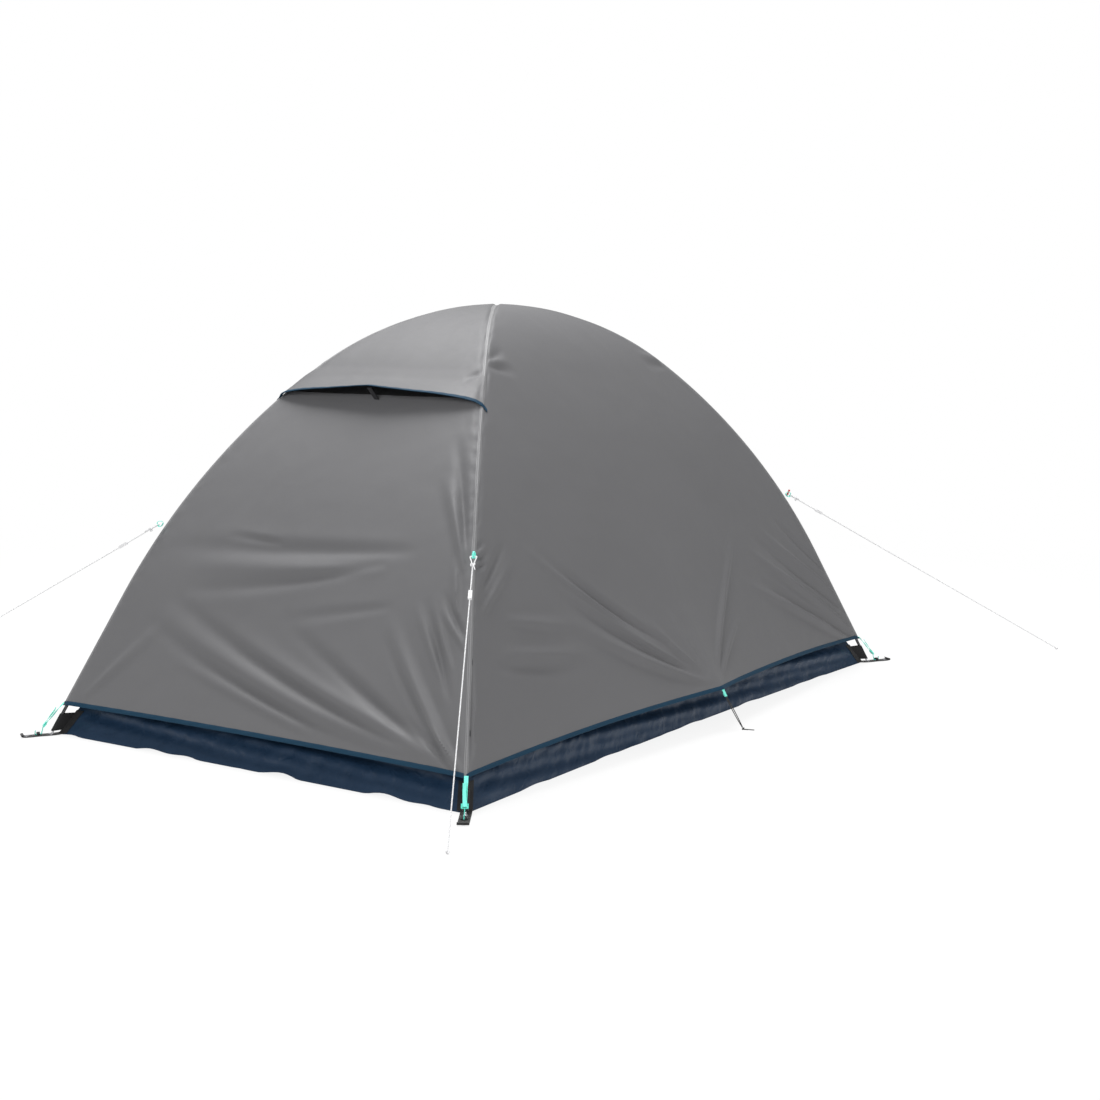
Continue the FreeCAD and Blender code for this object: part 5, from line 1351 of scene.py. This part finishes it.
# %% A strip of webbing
def strip(name, points, width, thickness, material):
    """Webbing that lies along points in the plane of reach and height, level across."""
    points = [Vector((p[0], 0, p[1])) for p in points]
    first, second = points[0], points[1]
    middle, step = (first + second) / 2, second - first
    slope = -math.atan2(step.z, step.x)
    deselect()
    bpy.ops.mesh.primitive_plane_add(size=1, location=middle, rotation=(0, slope, 0))
    piece = bpy.context.object
    piece.name = name
    piece.scale = (step.length, width, 1)
    put_place_in_mesh()
    mode("EDIT")
    bpy.ops.mesh.select_mode(type="EDGE")
    for number, (here, there) in enumerate(zip(points[1:], points[2:])):
        select_where(piece, "EDGE", lambda edge: all((v.co.xz - here.xz).length < 1e-5 for v in edge.verts))
        bpy.ops.mesh.extrude_region_move(TRANSFORM_OT_translate={"value": there - here})
    mode("OBJECT")
    shape = bmesh.new()
    shape.from_mesh(piece.data)
    layer = shape.loops.layers.uv.verify()
    runs = [0.0]
    for a, b in zip(points, points[1:]):
        runs.append(runs[-1] + (b - a).length)
    for face in shape.faces:
        for corner_loop in face.loops:
            near = min(range(len(points)), key=lambda i: (corner_loop.vert.co.xz - points[i].xz).length)
            corner_loop[layer].uv = (runs[near], corner_loop.vert.co.y)
    shape.to_mesh(piece.data)
    shape.free()
    modify(piece, "SUBSURF", levels=2, render_levels=2, boundary_smooth="PRESERVE_CORNERS")
    modify(piece, "SOLIDIFY", thickness=thickness, offset=0.0)
    modify(piece, "BEVEL", width=thickness * 0.28, segments=2, limit_method="ANGLE")
    finish_with(piece, material)
    return smooth(piece, 40)


def corner_copies(pattern, name):
    """The same piece at all four corners."""
    made = {c: copy_to(pattern, name + "_" + c, Matrix.Rotation(a, 4, "Z")) for c, a in CORNERS.items()}
    drop(pattern)
    return made

# %% [markdown]
# The black strap lies outwards from each corner of the floor, under the pole's tip. Its
# two grommet holes are cut with cylinders, and a small arch of webbing on it takes the
# mint hook. Its outer end is folded under and sewn.

# %% Corner straps
POLE_FOOT = FLY.foot - RIDGE_STANDOFF / math.sin(LEG_SLOPE)
STRAP_END = FLOOR_DIAGONAL + SEAM_PLAY + 0.098
PEG_REACH = STRAP_END - 0.015
strap_points = [(FLOOR_DIAGONAL + past, height) for past, height in (
    (-0.030, 0.0034), (-0.012, 0.0030), (0.002, 0.0014), (0.014, 0.0010), (0.034, 0.0010),
    (0.052, 0.0016), (0.066, 0.0010), (0.080, 0.0010))]
strap_points += [(STRAP_END - before, height) for before, height in (
    (0.004, 0.0016), (0.0, 0.0045), (0.003, 0.0076), (0.008, 0.0068))]
strap = strip("corner_strap", strap_points, 0.0275, 0.0014, black_webbing)
for reach, radius in ((POLE_FOOT, 0.0092), (PEG_REACH, 0.0085)):
    deselect()
    bpy.ops.mesh.primitive_cylinder_add(vertices=32, radius=radius, depth=0.02, location=(reach, 0, 0.002))
    cutter = bpy.context.object
    modify(strap, "BOOLEAN", operation="DIFFERENCE", object=cutter, solver="EXACT")
    drop(cutter)
KEEPER_AT = POLE_FOOT + 0.033
keeper = strip("keeper", [(-0.0078, 0.0018), (-0.0072, 0.0060), (-0.0040, 0.0092), (0.0, 0.0104),
                          (0.0040, 0.0092), (0.0072, 0.0060), (0.0078, 0.0018)], 0.008, 0.0014,
               black_webbing)
keeper.data.transform(Matrix.Translation((KEEPER_AT, 0, 0)) @ Matrix.Rotation(math.pi / 2, 4, "Z"))

levels = np.linspace(0.054, 0.011, 9)
tub_edge = np.interp(levels, [FLOOR_CLOTH, TUB_HEIGHT], [FLOOR_DIAGONAL, TUB_REACH]) - 0.0015
pole_line = POLE_FOOT - levels / math.tan(LEG_SLOPE)
turns = np.radians(np.linspace(105, -105, 13))
loops = []
for edge, axis, level in zip(tub_edge, pole_line, levels):
    loop = []
    for radius, half, order in ((0.0070, 0.0014, turns), (0.0060, -0.0004, turns[::-1])):
        bend = [(axis + radius * math.cos(t), radius * math.sin(t)) for t in order]
        loop += [(edge, half)] + bend + [(edge, -half)]
    loops.append([(x, y, level) for x, y in loop])
around = np.linspace(0, 0.08, len(loops[0]))
pocket = loft("pocket", np.array(loops), black_webbing, levels, around)
straps = corner_copies(join([strap, keeper, pocket], "corner_strap"), "corner_strap")
print("corner straps:", len(straps))

# %% [markdown]
# A mint tape runs from the hem's corner to the adjuster. It is doubled, because it comes
# back from the adjuster, and its loose end hangs beside it.

# %% Tension tapes
hem_reach, hem_low, _ = (float(v) for v in FLY.at(HEM_RUN))
HOOK_TOP = Vector((KEEPER_AT - 0.013, 0, 0.0016 + 0.0013 + 0.001 + 0.019))
TAPE_TOP = Vector((hem_reach + 0.0015, 0, hem_low - 0.0016))
tape_line = (HOOK_TOP - TAPE_TOP).normalized()
ADJUSTER_LOW = HOOK_TOP - tape_line * 0.0006
ADJUSTER_TOP = ADJUSTER_LOW - tape_line * 0.012
across_tape = Vector((-tape_line.z, 0, tape_line.x))
tape_length = (ADJUSTER_TOP - TAPE_TOP).length
TAPE_TWIST = 0.55


def along_tape(share, off):
    p = TAPE_TOP + tape_line * (tape_length * share) + across_tape * off
    return (p.x, p.z)


sewn = [along_tape(*place) for place in (
    (-0.16, -0.0022), (0.02, -0.0012), (0.3, -0.0002), (0.6, -0.0012), (0.85, -0.0006),
    (1.04, -0.0004), (1.14, 0.0010))]
looped = [along_tape(*place) for place in (
    (1.15, 0.0030), (1.02, 0.0026), (0.8, 0.0030), (0.55, 0.0046), (0.36, 0.0040), (0.2, 0.0068))]
tension = join([strip("tension", sewn, 0.0098, 0.0012, mint_webbing),
                strip("tension_tail", looped, 0.0094, 0.0012, mint_webbing)], "tension")
for vertex in tension.data.vertices:
    share = (vertex.co - TAPE_TOP).dot(tape_line) / tape_length
    if 0 < share < 1:
        twist = Matrix.Rotation(TAPE_TWIST * math.sin(math.pi * share), 4, tape_line)
        vertex.co = TAPE_TOP + twist @ (vertex.co - TAPE_TOP)
tension_tapes = corner_copies(tension, "tension_tape")
print("tension tapes: %.0f mm from hem to adjuster" % (tape_length * 1000))

# %% [markdown]
# A mint loop stands on each ridge at half height. It is a folded piece of webbing whose
# two ends are sewn into the seam, so it is pinched there and open at the cord.

# %% Guy loops, side tabs, marker and lantern loop
loop_points = [(-0.0086, 0.0016), (-0.0066, 0.0034), (-0.0030, 0.0060), (0.0020, 0.0078), (0.0062, 0.0064),
               (0.0083, 0.0024), (0.0083, -0.0024), (0.0062, -0.0064), (0.0020, -0.0078), (-0.0030, -0.0060),
               (-0.0066, -0.0034), (-0.0086, -0.0016)]
pattern = strip("guy_loop", loop_points, 0.0105, 0.0013, mint_webbing)
for vertex in pattern.data.vertices:
    vertex.co.y *= 1 - 0.80 * float(np.clip((vertex.co.z + 0.006) / 0.0138, 0, 1))
loops = {c: copy_to(pattern, "guy_loop_" + c, guy_frame(c)[0]) for c in GUY_GROUND}
drop(pattern)

tab_top = side_high.z
tab_points = [(-0.0016, tab_top + 0.003), (0.0006, tab_top - 0.001), (0.0044, tab_top - 0.0075),
              (0.0086, tab_top - 0.0145), (0.0104, tab_top - 0.0180), (0.0070, tab_top - 0.0154),
              (0.0026, tab_top - 0.0080)]
pattern = strip("side_tab", tab_points, 0.0105, 0.0010, mint_webbing)
tabs = {"right": copy_to(pattern, "side_tab_right", Matrix.Translation((side_high.x - 0.0007, 0, 0))),
        "left": copy_to(pattern, "side_tab_left", Matrix.Translation((-side_high.x + 0.0007, 0, 0))
                        @ Matrix.Rotation(math.pi, 4, "Z"))}
drop(pattern)

marker = strip("marker", [(0, -0.0073), (0.0004, -0.003), (-0.0003, 0.003), (0.0003, 0.009), (0.0, 0.0147)],
               0.0060, 0.0009, red_tape)
marker.data.transform(Matrix.Rotation(math.pi / 2, 4, "Z"))
marker.data.transform(Matrix.Translation((EYE_START - 0.0015 - SEAM_PLAY - 0.003, 0.0058, 0)))
marker.data.transform(guy_frame("front_left")[0])
marker.name = "marker_ribbon"

loop_low, loop_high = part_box("lantern_loop")
radius = (loop_high.z - loop_low.z) / 2 - 0.0007
turns = [math.radians(100 + 340 * i / 12) for i in range(13)]
lantern_strap = strip("lantern_strap", [(radius * math.cos(t), radius * math.sin(t)) for t in turns], 0.005,
                      0.0012, black_webbing)
lantern_strap.data.transform(Matrix.Translation((0, 0, (loop_low.z + loop_high.z) / 2))
                             @ Matrix.Rotation(math.pi / 2, 4, "Z"))
print("webbing pieces:", len(loops) + len(tabs) + 2)

# %% [markdown]
# ## The parts that came ready made
# Poles, sleeves, clips, rings, hooks, sliders and runners already have their real shape,
# so they only get a finish.

# %% Finishes for the ready-made parts
READY_MADE = {
    fibreglass: ["upper_pole_tubes", "under_pole_tubes"],
    steel: ["upper_pole_ferrules", "under_pole_ferrules", "upper_pole_tips", "under_pole_tips",
            "corner_grommets"],
    black_plastic: ["pole_clips", "vent_prop", "lantern_ring"],
    mint_plastic: ["tension_adjusters", "tension_hooks"],
    white_plastic: ["guy_runner_" + c for c in GUY_GROUND],
    zip_metal: ["fly_zip_slider_left", "fly_zip_slider_right", "fly_zip_pull_left", "fly_zip_pull_right",
                "inner_zip_slider", "inner_zip_pull"],
    grey_elastic: ["upper_pole_shock_cord", "under_pole_shock_cord"],
}
for material, names in READY_MADE.items():
    for name in names:
        finish_with(nodes[name], material)

# %% [markdown]
# ## What each piece rides on, and what it stands for
# Every piece moves with a body of the frame. A piece of cloth, webbing or cord replaces
# the plain solid that holds its place.

# %% Bodies and replaced solids
def place_piece(piece, body, slot, *replaced):
    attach(piece, body)
    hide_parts(*replaced)


POLES = ["upper_pole_tubes", "under_pole_tubes"]
# for each sheet: the node it stands for, its slot, how it is held, what it rests on, its tape
SHEETS = {
    "fly_left_sheet": ("fly_left_panel", "fly_cloth", "stretched", POLES, "hem_tape_left"),
    "fly_right_sheet": ("fly_right_panel", "fly_cloth", "stretched", POLES, "hem_tape_right"),
    "fly_rear_sheet": ("fly_rear_panel", "fly_cloth", "stretched", POLES, "hem_tape_rear"),
    "fly_front_crown_sheet": ("fly_front_panel", "fly_cloth", "stretched", POLES, None),
    "fly_front_left_sheet": ("fly_front_panel", "fly_cloth", "stretched", POLES, "hem_tape_front_left"),
    "fly_front_right_sheet": ("fly_front_panel", "fly_cloth", "stretched", POLES,
                              "hem_tape_front_right"),
    "fly_door_sheet": ("fly_door", "fly_cloth", "stretched", ["fly_front_crown_sheet"], "door_tape"),
    "vent_hood_sheet": ("vent_hood", "fly_cloth", "stretched", POLES, "hood_tape"),
    "vent_net": ("vent_mesh", "vent_net", "stretched", ["fly_rear_sheet"], None),
    "inner_left_sheet": ("inner_left_wall", "inner_cloth", "hung", ["pole_clips"], None),
    "inner_right_sheet": ("inner_right_wall", "inner_cloth", "hung", ["pole_clips"], None),
    "inner_rear_sheet": ("inner_rear_wall", "inner_cloth", "hung", ["pole_clips"], None),
    "inner_front_sheet": ("inner_front_wall", "inner_cloth", "hung", ["pole_clips"], None),
    "inner_door_sheet": ("inner_door", "inner_cloth", "hung", ["inner_front_sheet"], None),
    "tub_left_sheet": ("tub_left_wall", "tub_cloth", "stretched", ["floor_sheet"], None),
    "tub_right_sheet": ("tub_right_wall", "tub_cloth", "stretched", ["floor_sheet"], None),
    "tub_rear_sheet": ("tub_rear_wall", "tub_cloth", "stretched", ["floor_sheet"], None),
    "tub_front_sheet": ("tub_front_wall", "tub_cloth", "stretched", ["floor_sheet"], None),
    "floor_sheet": ("groundsheet", "tub_cloth", "laid", [], None),
}
for name, (node, slot, *_) in SHEETS.items():
    place_piece(sheets[name][0], node if node in ("fly_door", "inner_door") else "tent", slot, node)
for name, piece in tapes.items():
    if name == "door_tape":
        place_piece(piece, "fly_door", "navy_tape", "door_binding")
    else:
        place_piece(piece, "tent", "navy_tape", "hood_binding" if name == "hood_tape" else "hem_binding")
for piece in seams.values():
    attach(piece, "tent")
for name, piece in zips.items():
    place_piece(piece, "tent", "zip_coil", "inner_zip" if name.startswith("inner") else "fly_zips")
for corner in CORNERS:
    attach(patches[corner], "tent")
    place_piece(straps[corner], "tent", "black_webbing", "corner_straps")
    place_piece(tension_tapes[corner], "tent", "mint_tape", "tension_tapes")
    place_piece(loops[corner], "tent", "mint_tape", "guy_loops")
    place_piece(guy_ties[corner], "tent", "white_cord", "guy_knots")
    place_piece(guy_ends[corner], "tent", "white_cord", "guy_knots")
    finish_with(guy_ties[corner], white_cord)
    finish_with(guy_ends[corner], white_cord)
for side, piece in tabs.items():
    place_piece(piece, "tent", "mint_tape", "side_tabs")
place_piece(marker, "tent", "red_tag", "marker_tag")
place_piece(lantern_strap, "tent", "black_webbing", "lantern_loop")

# %% Cords finished and placed, and each sheet's width and length worked out
for corner, (line, points) in guy_lines.items():
    line.data.materials.append(white_cord)
    place_piece(line, "tent", "white_cord", "guy_line_" + corner)
for cord, points, side in side_cords:
    cord.data.materials.append(black_cord)
    place_piece(cord, "tent", "black_cord", "side_cord_" + side)
for side, piece in side_knots.items():
    finish_with(piece, black_cord)
    place_piece(piece, "tent", "black_cord", "side_knots")


for name, (node, slot, held, below, tape) in SHEETS.items():
    piece, grid, *cut_out = sheets[name]
    width, length = (float(max(np.linalg.norm(np.diff(grid, axis=k), axis=-1).sum(axis=k)))
                     for k in (0, 1))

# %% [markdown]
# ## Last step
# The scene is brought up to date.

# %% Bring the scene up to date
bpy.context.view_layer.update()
